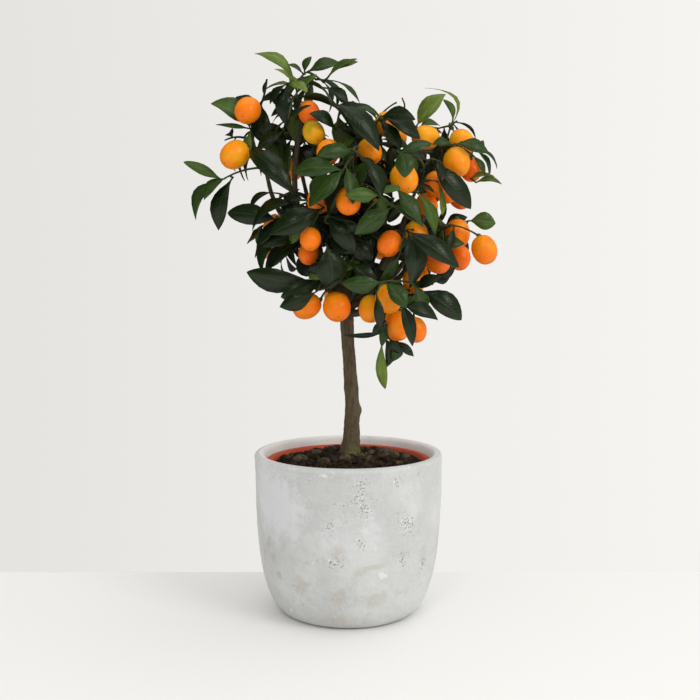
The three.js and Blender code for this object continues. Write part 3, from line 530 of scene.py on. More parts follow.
def bowed(start, end, bow, steps):
    """Evenly spaced points from start to end, moved by bow times 4 s (1 - s)."""
    share = np.linspace(0, 1, steps + 1)[:, None]
    return start + (end - start) * share + bow * 4 * share * (1 - share)


class Taken:
    """The room that is taken so far: balls along every limb, twig, leaf and fruit, with their owners."""

    def __init__(self, room=60000):
        self.count = 0
        self.place = np.zeros((room, 3))
        self.radius = np.zeros(room)
        self.owner = np.zeros(room, int)

    def is_free(self, places, radii, owner):
        """True where every ball stays clear of every ball taken, with more room to another owner's."""
        middle = places.mean(0)
        reach = np.linalg.norm(places - middle, axis=1).max() + radii.max() + WIDEST_BALL
        near = np.nonzero(((self.place[: self.count] - middle) ** 2).sum(1) < reach**2)[0]
        gap = np.where(self.owner[near] == owner, 0, NEIGHBOUR_GAP)
        apart = np.linalg.norm(places[:, None] - self.place[None, near], axis=2)
        return bool((apart > radii[:, None] + self.radius[near] + gap).all())

    def take(self, places, radii, owner):
        span = slice(self.count, self.count + len(places))
        self.place[span], self.radius[span], self.owner[span] = places, radii, owner
        self.count += len(places)


taken = Taken()
LIMB = -1
BOX_LOW, BOX_HIGH = (np.array(corner) / MM for corner in CAD_BOX)


def line_balls(line, radius_at, step, first):
    length = np.linalg.norm(np.diff(line, axis=0), axis=1).sum()
    count = max(2, math.floor(length / step + 0.5))
    shares = [i / count for i in range(count + 1) if i / count >= first]
    return np.array([along_line(line, s) for s in shares]), np.array([radius_at(s) for s in shares])


def leaf_point(leaf, share):
    """A leaf's middle line: a straight chord that rises to a low arch in the middle."""
    rise = LEAF_ARCH * leaf["length"] * 4 * share * (1 - share)
    return leaf["root"] + leaf["way"] * leaf["length"] * share + leaf["face"] * rise


def leaf_balls(leaf, ball):
    side = np.cross(leaf["way"], leaf["face"])
    places = [leaf_point(leaf, share) for share in (LEAF_FOOT_BALL, *LEAF_MIDDLE_BALLS)]
    places += [leaf_point(leaf, share) + side * hand * leaf["width"] for share, hand in LEAF_SIDE_BALLS]
    radii = np.full(len(places), ball)
    radii[0] = ball / 2
    return np.array(places), radii


def over_sky(leaf):
    """Whether the leaf's middle, seen from the photo's place, lies in a window of sky."""
    middle = leaf_point(leaf, 0.5)
    seen = PHOTO_PLACE + (middle - PHOTO_PLACE) * (PHOTO_PLACE[1] / (PHOTO_PLACE[1] - middle[1]))
    return bool((((seen[[0, 2]] - SKY_WINDOWS[:, :2]) / SKY_WINDOWS[:, 2:]) ** 2).sum(1).min() < 1)


def limb_radius(radius, share):
    return BOUGH_TIP_RADIUS + (radius - BOUGH_TIP_RADIUS) * (1 - share) ** LIMB_TAPER


def twig_balls(line):
    return line_balls(line, lambda share: TWIG_RADIUS, TWIG_STEP, TWIG_BALLS_FROM)


def grow_boughs():
    """Boughs: each runs from its parent's middle line towards its mass's heart and stops short of it."""
    solid_trunk = TRUNK_LINE.copy()
    solid_trunk[0, 2] = SOIL_TOP + GAP
    lines = {"trunk": solid_trunk}
    boughs = {}
    for name, rows in MASSES.items():
        parent, share, bow = rows["limb"]
        start = along_line(lines[parent], share)
        heart = at(*rows["heart"])
        end = mix(heart, start, BOUGH_SHORT_OF_HEART / np.linalg.norm(heart - start))
        lines[name] = bowed(start, end, at(*bow), 4)
        radius = BOUGH_RADIUS if parent == "trunk" else SIDE_BOUGH_RADIUS
        boughs[name] = dict(start=start, end=end, bow=at(*bow), radius=radius)
        taken.take(*line_balls(lines[name], lambda s: limb_radius(radius, s), LIMB_STEP, 0), LIMB)
    taken.take(*line_balls(solid_trunk, lambda s: TRUNK_RADIUS, TRUNK_STEP, 0), LIMB)
    return boughs


class Mass:
    """One mass of foliage: its heart and reach, the joints that it can grow on from, and what has grown."""

    def __init__(self, number, name, rows, tip):
        self.number, self.name, self.rows = number, name, rows
        self.heart, self.reach = at(*rows["heart"]), at(*rows["reach"])
        self.roll = dice(rows["seed"])
        self.joints = [[mix(tip, self.heart, share), 0] for share in STEM_JOINTS]
        self.twigs, self.leaves, self.fruits, self.stalks, self.named_leaves = [], [], [], [], {}

    def kinds(self):
        return self.twigs, self.joints, self.leaves, self.fruits, self.stalks

    def count(self):
        return [len(kind) for kind in self.kinds()], taken.count

    def cut_back(self, count):
        """A shoot that stays bare comes off again."""
        for kind, size in zip(self.kinds(), count[0]):
            del kind[size:]
        taken.count = count[1]

    def holds(self, place):
        return np.linalg.norm((place - self.heart) / self.reach) <= 1

    def in_box(self, place):
        return bool((place > BOX_LOW + BOX_MARGIN).all() and (place < BOX_HIGH - BOX_MARGIN).all())

    def nearest_joint(self, place):
        """The nearest joint, where each piece that a joint already carries counts as some more distance."""
        far = [np.linalg.norm(joint - place) + carries * JOINT_CROWDING for joint, carries in self.joints]
        best = self.joints[int(np.argmin(far))]
        best[1] += 1
        return best[0]

    def grow_twig(self, tip, sure):
        """A twig from the nearest joint, bowed by the first of a few bows that keeps it clear."""
        start = self.nearest_joint(tip)
        length = np.linalg.norm(start - tip)
        for bow in TWIG_BOWS:
            line = bowed(start, tip, bow * length, 2)
            if taken.is_free(*twig_balls(line), self.number):
                return self.keep_twig(line)
        return self.keep_twig(bowed(start, tip, TWIG_BOWS[0] * length, 2)) if sure else None

    def keep_twig(self, line):
        taken.take(*twig_balls(line), self.number)
        self.twigs.append(line)
        for start, end, share in ((0, 1, 0.5), (1, 2, 0.5), (1, 2, TWIG_JOINT)):
            self.joints.append([mix(line[start], line[end], share), 1])
        return line

    def leaf_row(self, root, way, length, roll, tint, is_lead, breadth, sweep):
        """A leaf on its chord from root along way. Its face turns outwards, up and to the light."""
        out = unit(root + way * length / 2 - CROWN_MIDDLE)
        lit = min(1, max(0, (LIT_TO - root[1]) / (LIT_TO - LIT_FROM)))
        want = out * FACE_OUTWARD + at(0, -(LEAD_TO_LIGHT if is_lead else FILL_TO_LIGHT) * lit, FACE_UP)
        face = turned(square_to(want, way), way, roll)
        width = length * LEAF_WIDTH_SHARE * breadth
        return dict(root=root, way=way, face=face, length=length, width=width, tint=tint, sweep=sweep)

    def keep_leaf(self, root, way, length, roll, tint, breadth, sweep):
        """A leaf that grows whatever it touches."""
        self.leaves.append(self.leaf_row(root, way, length, roll, tint, True, breadth, sweep))
        taken.take(*leaf_balls(self.leaves[-1], FINE_BALL), self.number)

    def grow_leaf(self, root, way, length, roll, tint, is_lead=False, ball=LEAF_BALL, breadth=1, sweep=None):
        """A leaf where it is clear. One of the rule's own stays in its mass, and a fine one in the box."""
        leaf = self.leaf_row(root, way, length, roll, tint, is_lead, breadth, sweep)
        tip, is_fine = leaf_point(leaf, 1), ball == FINE_BALL
        if not is_lead and not self.holds(tip):
            return False
        if is_fine and not (self.in_box(tip) and (is_lead or not over_sky(leaf))):
            return False
        balls = leaf_balls(leaf, ball)
        if not taken.is_free(*balls, self.number):
            return False
        taken.take(*balls, self.number)
        self.leaves.append(leaf)
        return True

    def grow_fruit(self, middle, way, size, ripe):
        """A fruit, moved to the back or the front until it is clear."""
        radius = FRUIT_RADIUS * size
        end = radius * (FRUIT_LENGTH_SHARE - 1)
        for shift in FRUIT_SHIFTS:
            place = middle + at(0, shift, 0)
            balls = place + way * end * at(-1, 0, 1)[:, None], radius * FRUIT_BALLS
            if taken.is_free(*balls, self.number):
                taken.take(*balls, self.number)
                self.fruits.append(dict(middle=place, way=way, radius=radius, ripe=ripe))
                return

    def grow_stalks(self):
        """A stalk from the nearest joint to the top of each fruit that has none yet."""
        for fruit in self.fruits[len(self.stalks):]:
            top = fruit["middle"] - fruit["way"] * fruit["radius"] * FRUIT_LENGTH_SHARE * STALK_SHARE
            self.stalks.append((self.nearest_joint(top), top))

    def dress_twig(self, line, shares, lengths=LEAF_LENGTH, ball=LEAF_BALL):
        """Leaves round a twig, each turned on from the last by the golden angle, and on until it is clear."""
        along = unit(line[2] - line[1])
        across = square_to(at(0.2, 0.1, 1), along)
        start = self.roll(0, 360)
        for index, share in enumerate(shares):
            spin = start + index * GOLDEN_ANGLE + self.roll(-LEAF_SPIN_SPREAD, LEAF_SPIN_SPREAD)
            lean = math.radians(self.roll(*LEAF_LEAN))
            length = self.roll(*lengths)
            roll = self.roll(-LEAF_ROLL, LEAF_ROLL)
            for turn in SPIN_TRIES:
                way = along * math.cos(lean) + turned(across, along, spin + turn) * math.sin(lean)
                way = unit(way - at(0, 0, LEAF_DROOP))
                if self.grow_leaf(along_line(line, share), way, length, roll, None, ball=ball):
                    break

    def grow_shoot(self, outward, lengths, shares, leaf_lengths, ball):
        """A shoot from a joint, outwards, inside the mass's own space."""
        joint = self.joints[int(self.roll(0, len(self.joints) * 0.999))][0]
        way = unit(at(self.roll(-1, 1), self.roll(-1, 1), self.roll(-1, 1)))
        way = unit(way + outward * OUTWARD_SHARE)
        tip = joint + way * self.roll(*lengths)
        line = self.grow_twig(tip, False) if self.holds(tip) else None
        if line is None:
            return False
        before = len(self.leaves)
        self.dress_twig(line, shares, leaf_lengths, ball)
        return len(self.leaves) >= before + FEWEST_LEAVES

    def grow_shoots(self, wanted, tries, **sizes):
        """Shoots until as many as wanted have stayed, where a shoot that stays bare is cut off."""
        outward = unit(self.heart - CROWN_MIDDLE)
        shoots = 0
        for _ in range(tries):
            if shoots == wanted:
                break
            count = self.count()
            if self.grow_shoot(outward, **sizes):
                shoots += 1
            else:
                self.cut_back(count)


def grow_lead_leaves(mass):
    """The named leaves of a mass, each turned to the front or the back until it is clear."""
    shoots = zip(mass.rows.get("shoots", ()), mass.rows.get("tints", ()), list(mass.twigs))
    for shoot, (row, tint, line) in enumerate(shoots):
        for place, (angle, length, *shape) in enumerate(row[3:]):
            breadth, sweep = filled(shape, (1, None))
            root = line[2] - unit(line[2] - line[1]) * LEAF_SPACING * (place + 0.25)
            depth = mass.roll(-LEAD_DEPTH, LEAD_DEPTH)
            roll = mass.roll(-LEAD_ROLL, LEAD_ROLL)
            for turn in DEPTH_TRIES:
                way = way_of(angle, depth + turn)
                if mass.grow_leaf(root, way, length, roll, tint, True, breadth=breadth, sweep=sweep):
                    mass.named_leaves[shoot, place] = mass.leaves[-1]
                    break


def finish_leaves(by_name):
    """Turns and shapes the named leaves as they finish, and drops the rule's leaves over the photo's sky."""
    for (name, shoot, place), (share, tint, *shape) in FINISHED_LEAVES.items():
        leaf = by_name[name].named_leaves[shoot, place]
        turn, length, sweep = filled(shape, (0, 1, leaf["sweep"]))
        (x, y, z), cosine, sine = leaf["way"], math.cos(math.radians(turn)), math.sin(math.radians(turn))
        leaf["way"] = at(x * cosine - z * sine, y, x * sine + z * cosine)
        leaf["face"] = square_to(leaf["face"], leaf["way"])
        leaf["width"], leaf["length"] = leaf["width"] * share, leaf["length"] * length
        leaf["tint"], leaf["sweep"] = tint, sweep
    for mass in by_name.values():
        named = [id(leaf) for leaf in mass.named_leaves.values()]
        stays = lambda leaf: leaf["width"] > 0 if id(leaf) in named else not over_sky(leaf)
        mass.leaves = [leaf for leaf in mass.leaves if stays(leaf)]


def finish_fruits(by_name):
    """Moves and sizes the named fruits as they finish, each with the top of its stalk."""
    for (name, number), (right, up, share) in FINISHED_FRUITS.items():
        fruit, stalks = by_name[name].fruits[number], by_name[name].stalks
        fruit["middle"] = fruit["middle"] + at(right, 0, up)
        fruit["radius"] = fruit["radius"] * share
        stalks[number] = (stalks[number][0], stalks[number][1] + at(right, 0, up))


def grow_front_leaves(by_name):
    """The further front leaves, each turned to the front or the back until it is clear, and there anyhow."""
    for name, root, angle, length, breadth, sweep, tint in FRONT_LEAVES:
        mass = by_name[name]
        mass.grow_twig(at(*root), True)
        for turn in FRONT_TRIES:
            way = way_of(angle, turn)
            if mass.grow_leaf(at(*root), way, length, 0, tint, True, FINE_BALL, breadth, sweep):
                break
        else:
            mass.keep_leaf(at(*root), way, length, 0, tint, breadth, sweep)


def grow_crown():
    """The whole crown: named fruits, shoots and leaves first, then the rule's own, then its finer twigs."""
    boughs = grow_boughs()
    masses = [Mass(n, name, rows, boughs[name]["end"]) for n, (name, rows) in enumerate(MASSES.items())]
    by_name = {mass.name: mass for mass in masses}
    for mass in masses:
        for (*middle, angle, tilt, size), ripe in zip(mass.rows.get("fruits", ()), mass.rows.get("ripe", ())):
            way = way_of(angle, -math.degrees(math.asin(tilt)))
            mass.grow_fruit(at(*middle), way, size, ripe)
    for mass in masses:
        for row in mass.rows.get("shoots", ()):
            mass.grow_twig(at(*row[:3]), True)
        mass.grow_stalks()
    for mass in masses:
        grow_lead_leaves(mass)
    usual = dict(lengths=SHOOT_LENGTH, shares=FILL_SHARES, leaf_lengths=LEAF_LENGTH, ball=LEAF_BALL)
    for mass in masses:
        for line in list(mass.twigs):
            mass.dress_twig(line, LEAD_SHARES)
        mass.grow_shoots(mass.rows["fill"], mass.rows["fill"] * SHOOT_TRIES, **usual)
    finish_leaves(by_name)
    finish_fruits(by_name)
    for (name, twig), middle in BENT_TWIGS.items():
        by_name[name].twigs[twig][1] = middle
    grow_front_leaves(by_name)
    finer = dict(lengths=FINE_SHOOT_LENGTH, shares=FINE_SHARES, leaf_lengths=FINE_LEAF_LENGTH, ball=FINE_BALL)
    for mass in masses:
        fine = mass.rows.get("fine", FINE_SHOOTS)
        mass.grow_shoots(fine, fine * FINE_TRIES, **finer)
    return boughs, masses


# Meshes


LEAF_AND_PEEL_MAP = "OFBake"

def ripple(points, wavelength, seed, waves=18):
    """Smooth seeded noise of about unit size: the sum of sine waves of one wavelength, each with its own
    direction and phase, divided by the root of half their number."""
    rng = np.random.default_rng(seed)
    ways = rng.normal(size=(waves, 3))
    ways /= np.linalg.norm(ways, axis=1, keepdims=True)
    phase = rng.uniform(0, 2 * math.pi, waves)
    return np.sin(points @ ways.T * (2 * math.pi / wavelength) + phase).sum(-1) / math.sqrt(waves / 2)


def ripples(points, waves):
    """Several ripples added up, each by how high it is, its wavelength and its seed."""
    return sum(height * ripple(points, wavelength, seed) for height, wavelength, seed in waves)


def round_turn(sides):
    return np.linspace(0, 2 * math.pi, sides, endpoint=False)


def ring_quads(shells, rings, sides):
    """Quads of tubes that lie one after another: ring i, side j with its neighbours, round each ring."""
    i, j = np.meshgrid(np.arange(rings - 1), np.arange(sides), indexing="ij")
    k = (j + 1) % sides
    quads = np.stack([i * sides + j, i * sides + k, (i + 1) * sides + k, (i + 1) * sides + j], -1)
    return (quads.reshape(1, -1, 4) + np.arange(shells).reshape(-1, 1, 1) * rings * sides).reshape(-1, 4)


def end_caps(shells, rings, sides):
    """One flat face on the first ring and one on the last ring of each tube."""
    start = np.arange(shells)[:, None] * rings * sides
    ring = np.arange(sides)
    return np.concatenate([start + ring[::-1], start + (rings - 1) * sides + ring])


def closed(places):
    """Tubes (..., rings, sides, 3) as vertices, quads and caps."""
    rings, sides = places.shape[-3:-1]
    vertices = places.reshape(-1, 3)
    shells = len(vertices) // (rings * sides)
    return vertices, ring_quads(shells, rings, sides), end_caps(shells, rings, sides)


def quad_map(across, along):
    """The corners of each quad of a tube on its map, from the map's lines across and its lines along."""
    i, j = np.meshgrid(np.arange(len(along) - 1), np.arange(len(across) - 1), indexing="ij")
    corners = ((j, i), (j + 1, i), (j + 1, i + 1), (j, i + 1))
    return np.stack([np.stack([across[side], along[row]], -1) for side, row in corners], -2).reshape(-1, 4, 2)


def volume_of(vertices, quads):
    """Signed volume: a sixth of the triple product of each triangle of each quad, added up."""
    a, b, c, d = (vertices[quads[:, k]] for k in range(4))
    return ((a * np.cross(b, c)).sum() + (a * np.cross(c, d)).sum()) / 6


def put_in_scene(name, data):
    made = bpy.data.objects.new(name, data)
    bpy.context.scene.collection.objects.link(made)
    return made


def make_piece(name, shape, material, replaced=(), uv=None, flat=None, layers=None):
    """A mesh object from a shape's millimetre vertices, quads and caps, with its faces turned outwards and a
    place on the body. uv gives one pair for each corner of the quads, flat is true for the quads that aren't
    smooth, and layers are named numbers, one for each vertex."""
    vertices, quads, caps = shape
    if volume_of(vertices, quads) < 0:
        quads, caps = quads[:, ::-1], caps[:, ::-1]
        uv = None if uv is None else uv[:, ::-1]
    mesh = bpy.data.meshes.new(name)
    mesh.from_pydata((vertices * MM).tolist(), [], quads.tolist() + caps.tolist())
    smooth = np.ones(len(mesh.polygons), bool)
    if flat is not None:
        smooth[: len(quads)] = ~flat
        smooth[len(quads):] = False
    mesh.polygons.foreach_set("use_smooth", smooth)
    if uv is not None:
        corners = np.tile(uv.reshape(-1, 2)[0], (len(mesh.loops), 1))
        corners[: quads.size] = uv.reshape(-1, 2)
        mesh.uv_layers.new(name=LEAF_AND_PEEL_MAP).data.foreach_set("uv", corners.ravel())
    for layer, values in (layers or {}).items():
        numbers = np.ascontiguousarray(values, float).ravel()
        mesh.attributes.new(layer, "FLOAT", "POINT").data.foreach_set("value", numbers)
    mesh.materials.append(material)
    piece = put_in_scene(name, mesh)
    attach(piece, "root")
    if replaced:
        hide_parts(*replaced)


def tubes(lines, radii, sides, relief=None):
    """Round sections carried along many lines at once. lines is (tubes, rings, 3) and radii (tubes, rings). A
    ring lies square to its line, on across = way x a slanting axis and up = way x across, and relief(places,
    turn) scales the radius there."""
    way = np.gradient(lines, axis=1)
    way /= np.linalg.norm(way, axis=2, keepdims=True)
    across = np.cross(way, at(0.31, 0.93, 0.17))
    across /= np.linalg.norm(across, axis=2, keepdims=True)
    up = np.cross(way, across)
    turn = round_turn(sides)
    spoke = across[:, :, None] * np.cos(turn)[:, None] + up[:, :, None] * np.sin(turn)[:, None]
    scale = radii[:, :, None]
    if relief is not None:
        scale = scale * relief(lines[:, :, None] + spoke * scale[..., None], turn)
    return closed(lines[:, :, None] + spoke * scale[..., None])


def joined(shapes):
    """Several shapes with as many sides as one, with the later ones' numbers moved on."""
    vertices, quads, caps = zip(*shapes)
    starts = np.cumsum([0] + [len(places) for places in vertices[:-1]])
    moved_on = lambda faces: np.concatenate([rows + start for rows, start in zip(faces, starts)])
    return np.concatenate(vertices), moved_on(quads), moved_on(caps)


def spun(profile, sides):
    """A closed profile of radius and height, from the axis to the axis, turned about the Z axis."""
    turn = round_turn(sides)
    radius, height = profile[:, 0, None], profile[:, 1, None]
    return np.stack([radius * np.cos(turn), radius * np.sin(turn), height + 0 * turn], -1)


# Materials


def shaded(colour, share):
    return tuple(part * share for part in colour)


class Nodes:
    """A node tree on its way. Each step adds a node and returns what comes out of it, and takes in numbers,
    colours or what comes out of others."""

    def __init__(self, tree):
        self.tree = tree

    def put(self, node, key, value):
        if isinstance(value, bpy.types.NodeSocket):
            self.tree.links.new(value, node.inputs[key])
        else:
            node.inputs[key].default_value = value

    def node(self, kind, inputs=None, **settings):
        made = self.tree.nodes.new(kind)
        for key, value in settings.items():
            setattr(made, key, value)
        for key, value in (inputs or {}).items():
            self.put(made, key, value)
        return made

    def maths(self, operation, a, b=0.0, clamp=False):
        return self.node("ShaderNodeMath", {0: a, 1: b}, operation=operation, use_clamp=clamp).outputs[0]

    def times(self, a, b, clamp=False):
        return self.maths("MULTIPLY", a, b, clamp)

    def plus(self, a, b):
        return self.maths("ADD", a, b)

    def less(self, a, b):
        return self.maths("SUBTRACT", a, b)

    def split(self, vector):
        return self.node("ShaderNodeSeparateXYZ", {0: vector}).outputs

    def blend(self, share, a, b):
        """Colour a to colour b by share."""
        a, b = (colour if isinstance(colour, bpy.types.NodeSocket) else (*colour, 1) for colour in (a, b))
        return self.node("ShaderNodeMix", {0: share, 6: a, 7: b}, data_type="RGBA").outputs[2]

    def ramp(self, value, low, high):
        """0 below low, 1 above high, and smooth between them."""
        inputs = {"Value": value, "From Min": low, "From Max": high}
        return self.node("ShaderNodeMapRange", inputs, interpolation_type="SMOOTHSTEP").outputs["Result"]

    def fall(self, value, low, high):
        """1 below low, 0 above high, and smooth between them."""
        return self.less(1.0, self.ramp(value, low, high))


class Finish(Nodes):
    """A material on its way: its colour starts as one and is covered by coats of others. Its patterns lie in
    place, which is the piece's own space, or its map."""

    def __init__(self, name, colour, by_map=False):
        self.material = bpy.data.materials.new(name)
        self.material.use_nodes = True
        super().__init__(self.material.node_tree)
        self.shader = self.tree.nodes["Principled BSDF"]
        self.colour = colour
        self.place = self.map_place() if by_map else self.node("ShaderNodeTexCoord").outputs["Object"]

    def map_place(self):
        return self.node("ShaderNodeUVMap", uv_map=LEAF_AND_PEEL_MAP).outputs[0]

    def layer(self, name):
        """The piece's own layer of numbers."""
        return self.node("ShaderNodeAttribute", attribute_name=name, attribute_type="GEOMETRY").outputs["Fac"]

    def stretched(self, scale):
        return self.node("ShaderNodeMapping", {"Vector": self.place, "Scale": scale}).outputs[0]

    def noise(self, wavelength, detail=3.0, roughness=0.55, place=None):
        """Noise with features about wavelength millimetres across."""
        place = self.place if place is None else place
        inputs = {"Vector": place, "Scale": 1 / (wavelength * MM), "Detail": detail, "Roughness": roughness}
        return self.node("ShaderNodeTexNoise", inputs).outputs["Fac"]

    def cells(self, wavelength):
        """The distance to the nearest of many points about wavelength millimetres apart."""
        inputs = {"Vector": self.place, "Scale": 1 / (wavelength * MM)}
        return self.node("ShaderNodeTexVoronoi", inputs).outputs["Distance"]

    def ragged(self, layer, wavelength, low, high, push=0.4):
        """How far a mark shows: noise pushed up by the mark's layer, read between low and high, so that its
        edge is ragged."""
        pushed = self.times(self.layer(layer), push)
        return self.ramp(self.plus(self.noise(wavelength, 7, 0.72), pushed), low, high)

    def coat(self, share, colour, most=None):
        """Covers the colour so far by share, or by share times most."""
        self.colour = self.blend(share if most is None else self.times(share, most), self.colour, colour)

    def finished(self, roughness, mirror, relief, strength, depth):
        """Sets how rough the surface is and how much it mirrors, with a relief depth millimetres deep."""
        bump = self.node("ShaderNodeBump", {"Height": relief, "Strength": strength, "Distance": depth * MM})
        self.put(self.shader, "Base Color", self.colour)
        self.put(self.shader, "Roughness", roughness)
        self.put(self.shader, "Specular IOR Level", mirror)
        self.put(self.shader, "Normal", bump.outputs["Normal"])
        return self.material


CONCRETE_STAINS = {
    "cool": ((0.715, 0.72, 0.755), 0.8),
    "warm": ((0.50, 0.465, 0.425), 0.7),
    "mossy": ((0.50, 0.512, 0.455), 0.75),
    "dull": ((0.42, 0.415, 0.395), 0.72),
}


def concrete_material():
    """Pale fibre concrete: cool grey with mottled clouds. Dark pits and white specks gather where the layer
    pitted is high, whitish chips where scuffed is, and the layers of the stains tint it. Inside the pot,
    the layer pale is painted light over the wall above the soil, and warm and dull darken its back right,
    partly as a brown stain and partly as painted shade."""
    look = Finish("pale_concrete", (0.535, 0.551, 0.549))
    look.coat(look.ramp(look.noise(55, 4), 0.36, 0.66), (0.625, 0.643, 0.642))
    look.coat(look.ramp(look.noise(16, 8, 0.78), 0.5, 0.62), (0.52, 0.515, 0.50), 0.55)
    for layer, (tint, most) in CONCRETE_STAINS.items():
        look.coat(look.ragged(layer, 9, 0.61, 0.93), tint, most)
    # Painted light: the layer pale lightens the inside wall above the soil
    look.coat(look.layer("pale"), (0.84, 0.83, 0.82), 0.75)
    look.coat(look.ramp(look.noise(2.4, 5, 0.75), 0.44, 0.6), (0.78, 0.78, 0.77), 0.16)
    chips = look.ragged("scuffed", 3.2, 0.7, 0.82, 0.22)
    look.coat(chips, (0.85, 0.85, 0.845), 0.6)
    fine, pushed = look.noise(1.7, 1.0), look.times(look.layer("pitted"), 0.16)
    specks = look.ramp(look.plus(fine, pushed), 0.78, 0.84)
    look.coat(specks, (0.88, 0.88, 0.87), 0.55)
    pits = look.fall(look.less(fine, pushed), 0.2, 0.26)
    look.coat(pits, (0.16, 0.155, 0.13), 0.62)
    grain = look.times(look.noise(2.6, 5, 0.75), 0.45)
    relief = look.less(look.plus(grain, look.times(chips, 0.3)), pits)
    return look.finished(roughness=0.88, mirror=0.25, relief=relief, strength=0.4, depth=0.6)


def plastic_material():
    """Terracotta plastic: matt moulding grain and faint dusty patches."""
    look = Finish("terracotta_plastic", (0.50, 0.072, 0.022))
    look.coat(look.ramp(look.noise(14, 4), 0.48, 0.75), (0.40, 0.14, 0.07), 0.2)
    return look.finished(roughness=0.5, mirror=0.3, relief=look.noise(0.8, 3), strength=0.15, depth=0.1)


def soil_material(name, dark, light, fleck):
    """Moist potting soil: dark fibre and lighter crumbs, matt, with small flecks, and moss where its layer is
    high."""
    look = Finish(name, dark)
    look.coat(look.ramp(look.noise(5, 6, 0.7), 0.36, 0.68), light)
    flecks = look.times(look.fall(look.cells(3.4), 0.08, 0.2), look.ramp(look.noise(11, 2), 0.5, 0.6))
    look.coat(flecks, fleck, 0.5)
    look.coat(look.ragged("mossy", 5, 0.66, 0.85), (0.13, 0.125, 0.035), 0.55)
    grain = look.noise(1.6, 6, 0.75)
    return look.finished(roughness=0.95, mirror=0.15, relief=grain, strength=0.7, depth=0.8)


def bark_material(name, dark, light, green, has_moss=False):
    """Young citrus bark: grey-brown with fine lengthwise streaks, pale specks and a green cast in patches,
    and moss where its layer is high."""
    look = Finish(name, dark)
    streaks = look.ramp(look.noise(1.7, 5, 0.65, look.stretched((1, 1, 0.16))), 0.32, 0.68)
    look.coat(streaks, light)
    look.coat(look.ramp(look.noise(16, 3), 0.45, 0.7), green, 0.45)
    look.coat(look.fall(look.cells(2.8), 0.08, 0.2), shaded(light, 1.9), 0.35)
    if has_moss:
        look.coat(look.ragged("mossy", 5, 0.66, 0.85), (0.15, 0.15, 0.035), 0.6)
    return look.finished(roughness=0.8, mirror=0.25, relief=streaks, strength=0.5, depth=0.5)


# The share of each half of the leaf's map that the blade takes, beside the strip of its edge
LEAF_MAP_BLADE = 0.94
LEAF_VEINS = 11.0
LEAF_VEIN_SLANT = 1.6


def leaf_material(name, top, under, rib, roughness):
    """A leathery leaf: glossy above with a paler midrib, margin and faint side veins, matt and paler below.
    The map's first half across is the upper side, its second half the lower, and both run from root to tip."""
    look = Finish(name, top, by_map=True)
    across_map, along = look.split(look.place)[:2]
    below = look.maths("GREATER_THAN", across_map, 0.5)
    half = look.maths("FRACT", look.times(across_map, 2.0))
    from_left = look.times(half, 1 / LEAF_MAP_BLADE, clamp=True)
    across = look.maths("ABSOLUTE", look.less(look.times(from_left, 2.0), 1.0))
    slant = look.less(look.times(along, LEAF_VEINS), look.times(across, LEAF_VEIN_SLANT))
    vein = look.fall(look.maths("ABSOLUTE", look.less(look.maths("FRACT", slant), 0.5)), 0.02, 0.16)
    midrib = look.fall(across, 0.02, 0.1)
    inputs = {"Vector": look.stretched((9, 5, 1)), "Scale": 1.0, "Detail": 4.0}
    cloud = look.node("ShaderNodeTexNoise", inputs).outputs["Fac"]
    look.coat(look.ramp(cloud, 0.35, 0.7), shaded(top, 1.9), 0.55)
    look.coat(vein, rib, 0.08)
    look.coat(midrib, rib, 0.5)
    look.coat(look.ramp(across, 0.9, 1.0), rib, 0.42)
    look.coat(below, under)
    gloss = look.plus(look.times(below, 0.25), roughness)
    relief = look.plus(look.times(vein, -0.35), look.times(midrib, -0.8))
    relief = look.plus(relief, look.times(cloud, 1.2))
    return look.finished(roughness=gloss, mirror=0.34, relief=relief, strength=0.45, depth=0.5)


PORE_SPACING = 1.15


def peel_material(name, skin, far_end):
    """Thin oily peel: fine dimples, and a tone that changes in clouds and from the stalk to the far end."""
    look = Finish(name, skin)
    along = look.split(look.map_place())[1]
    cloud = look.times(look.less(look.noise(13, 3), 0.5), 2.2)
    look.coat(look.ramp(look.plus(along, cloud), 0.15, 0.85), far_end)
    pores = look.cells(PORE_SPACING)
    look.coat(look.fall(pores, 0.05, 0.3), shaded(skin, 0.55), 0.1)
    look.put(look.shader, "Subsurface Weight", 0.15)
    look.put(look.shader, "Subsurface Radius", (1.0, 0.45, 0.1))
    look.put(look.shader, "Subsurface Scale", 2 * MM)
    dimples = look.ramp(pores, 0.05, 0.5)
    return look.finished(roughness=0.3, mirror=0.26, relief=dimples, strength=0.22, depth=0.25)


# The pot and what fills it


def pot_radius(height):
    """Out of the foot on a rounded curve, then a slight opening to the rim."""
    fall = 1 - (1 - np.minimum(height / POT_BELLY_HEIGHT, 1)) ** POT_BELLY_FALL
    belly = POT_FOOT_RADIUS + (POT_BELLY_RADIUS - POT_FOOT_RADIUS) * fall ** (1 / POT_BELLY_ROUND)
    share = (height - POT_BELLY_HEIGHT) / (POT_HEIGHT - POT_BELLY_HEIGHT)
    return np.where(height > POT_BELLY_HEIGHT, mix(POT_BELLY_RADIUS, POT_RADIUS, share), belly)


POT_SIDES = 400
POT_FOOT_RISE = at(0, 0.4, 1, 1.8, 2.8, 4)
POT_OUTER_RINGS = 100
POT_RIM_RINGS = 14
POT_INNER_RINGS = 26
POT_WAVES = ((0.22, 60, 3), (0.09, 9, 4))
POT_SUNK = 0.35
POT_PITTED_RINGS = 106
PIT_SEED = 12
PIT_COUNT = 150
PIT_HEIGHTS = (18, 148)
PIT_CLUSTERS = 16
PIT_SPREAD = at(0.16, 11)
PIT_WIDTH = (0.9, 2.0)
PIT_DEPTH = (0.25, 0.6)
MOST_MARKED = 1.4

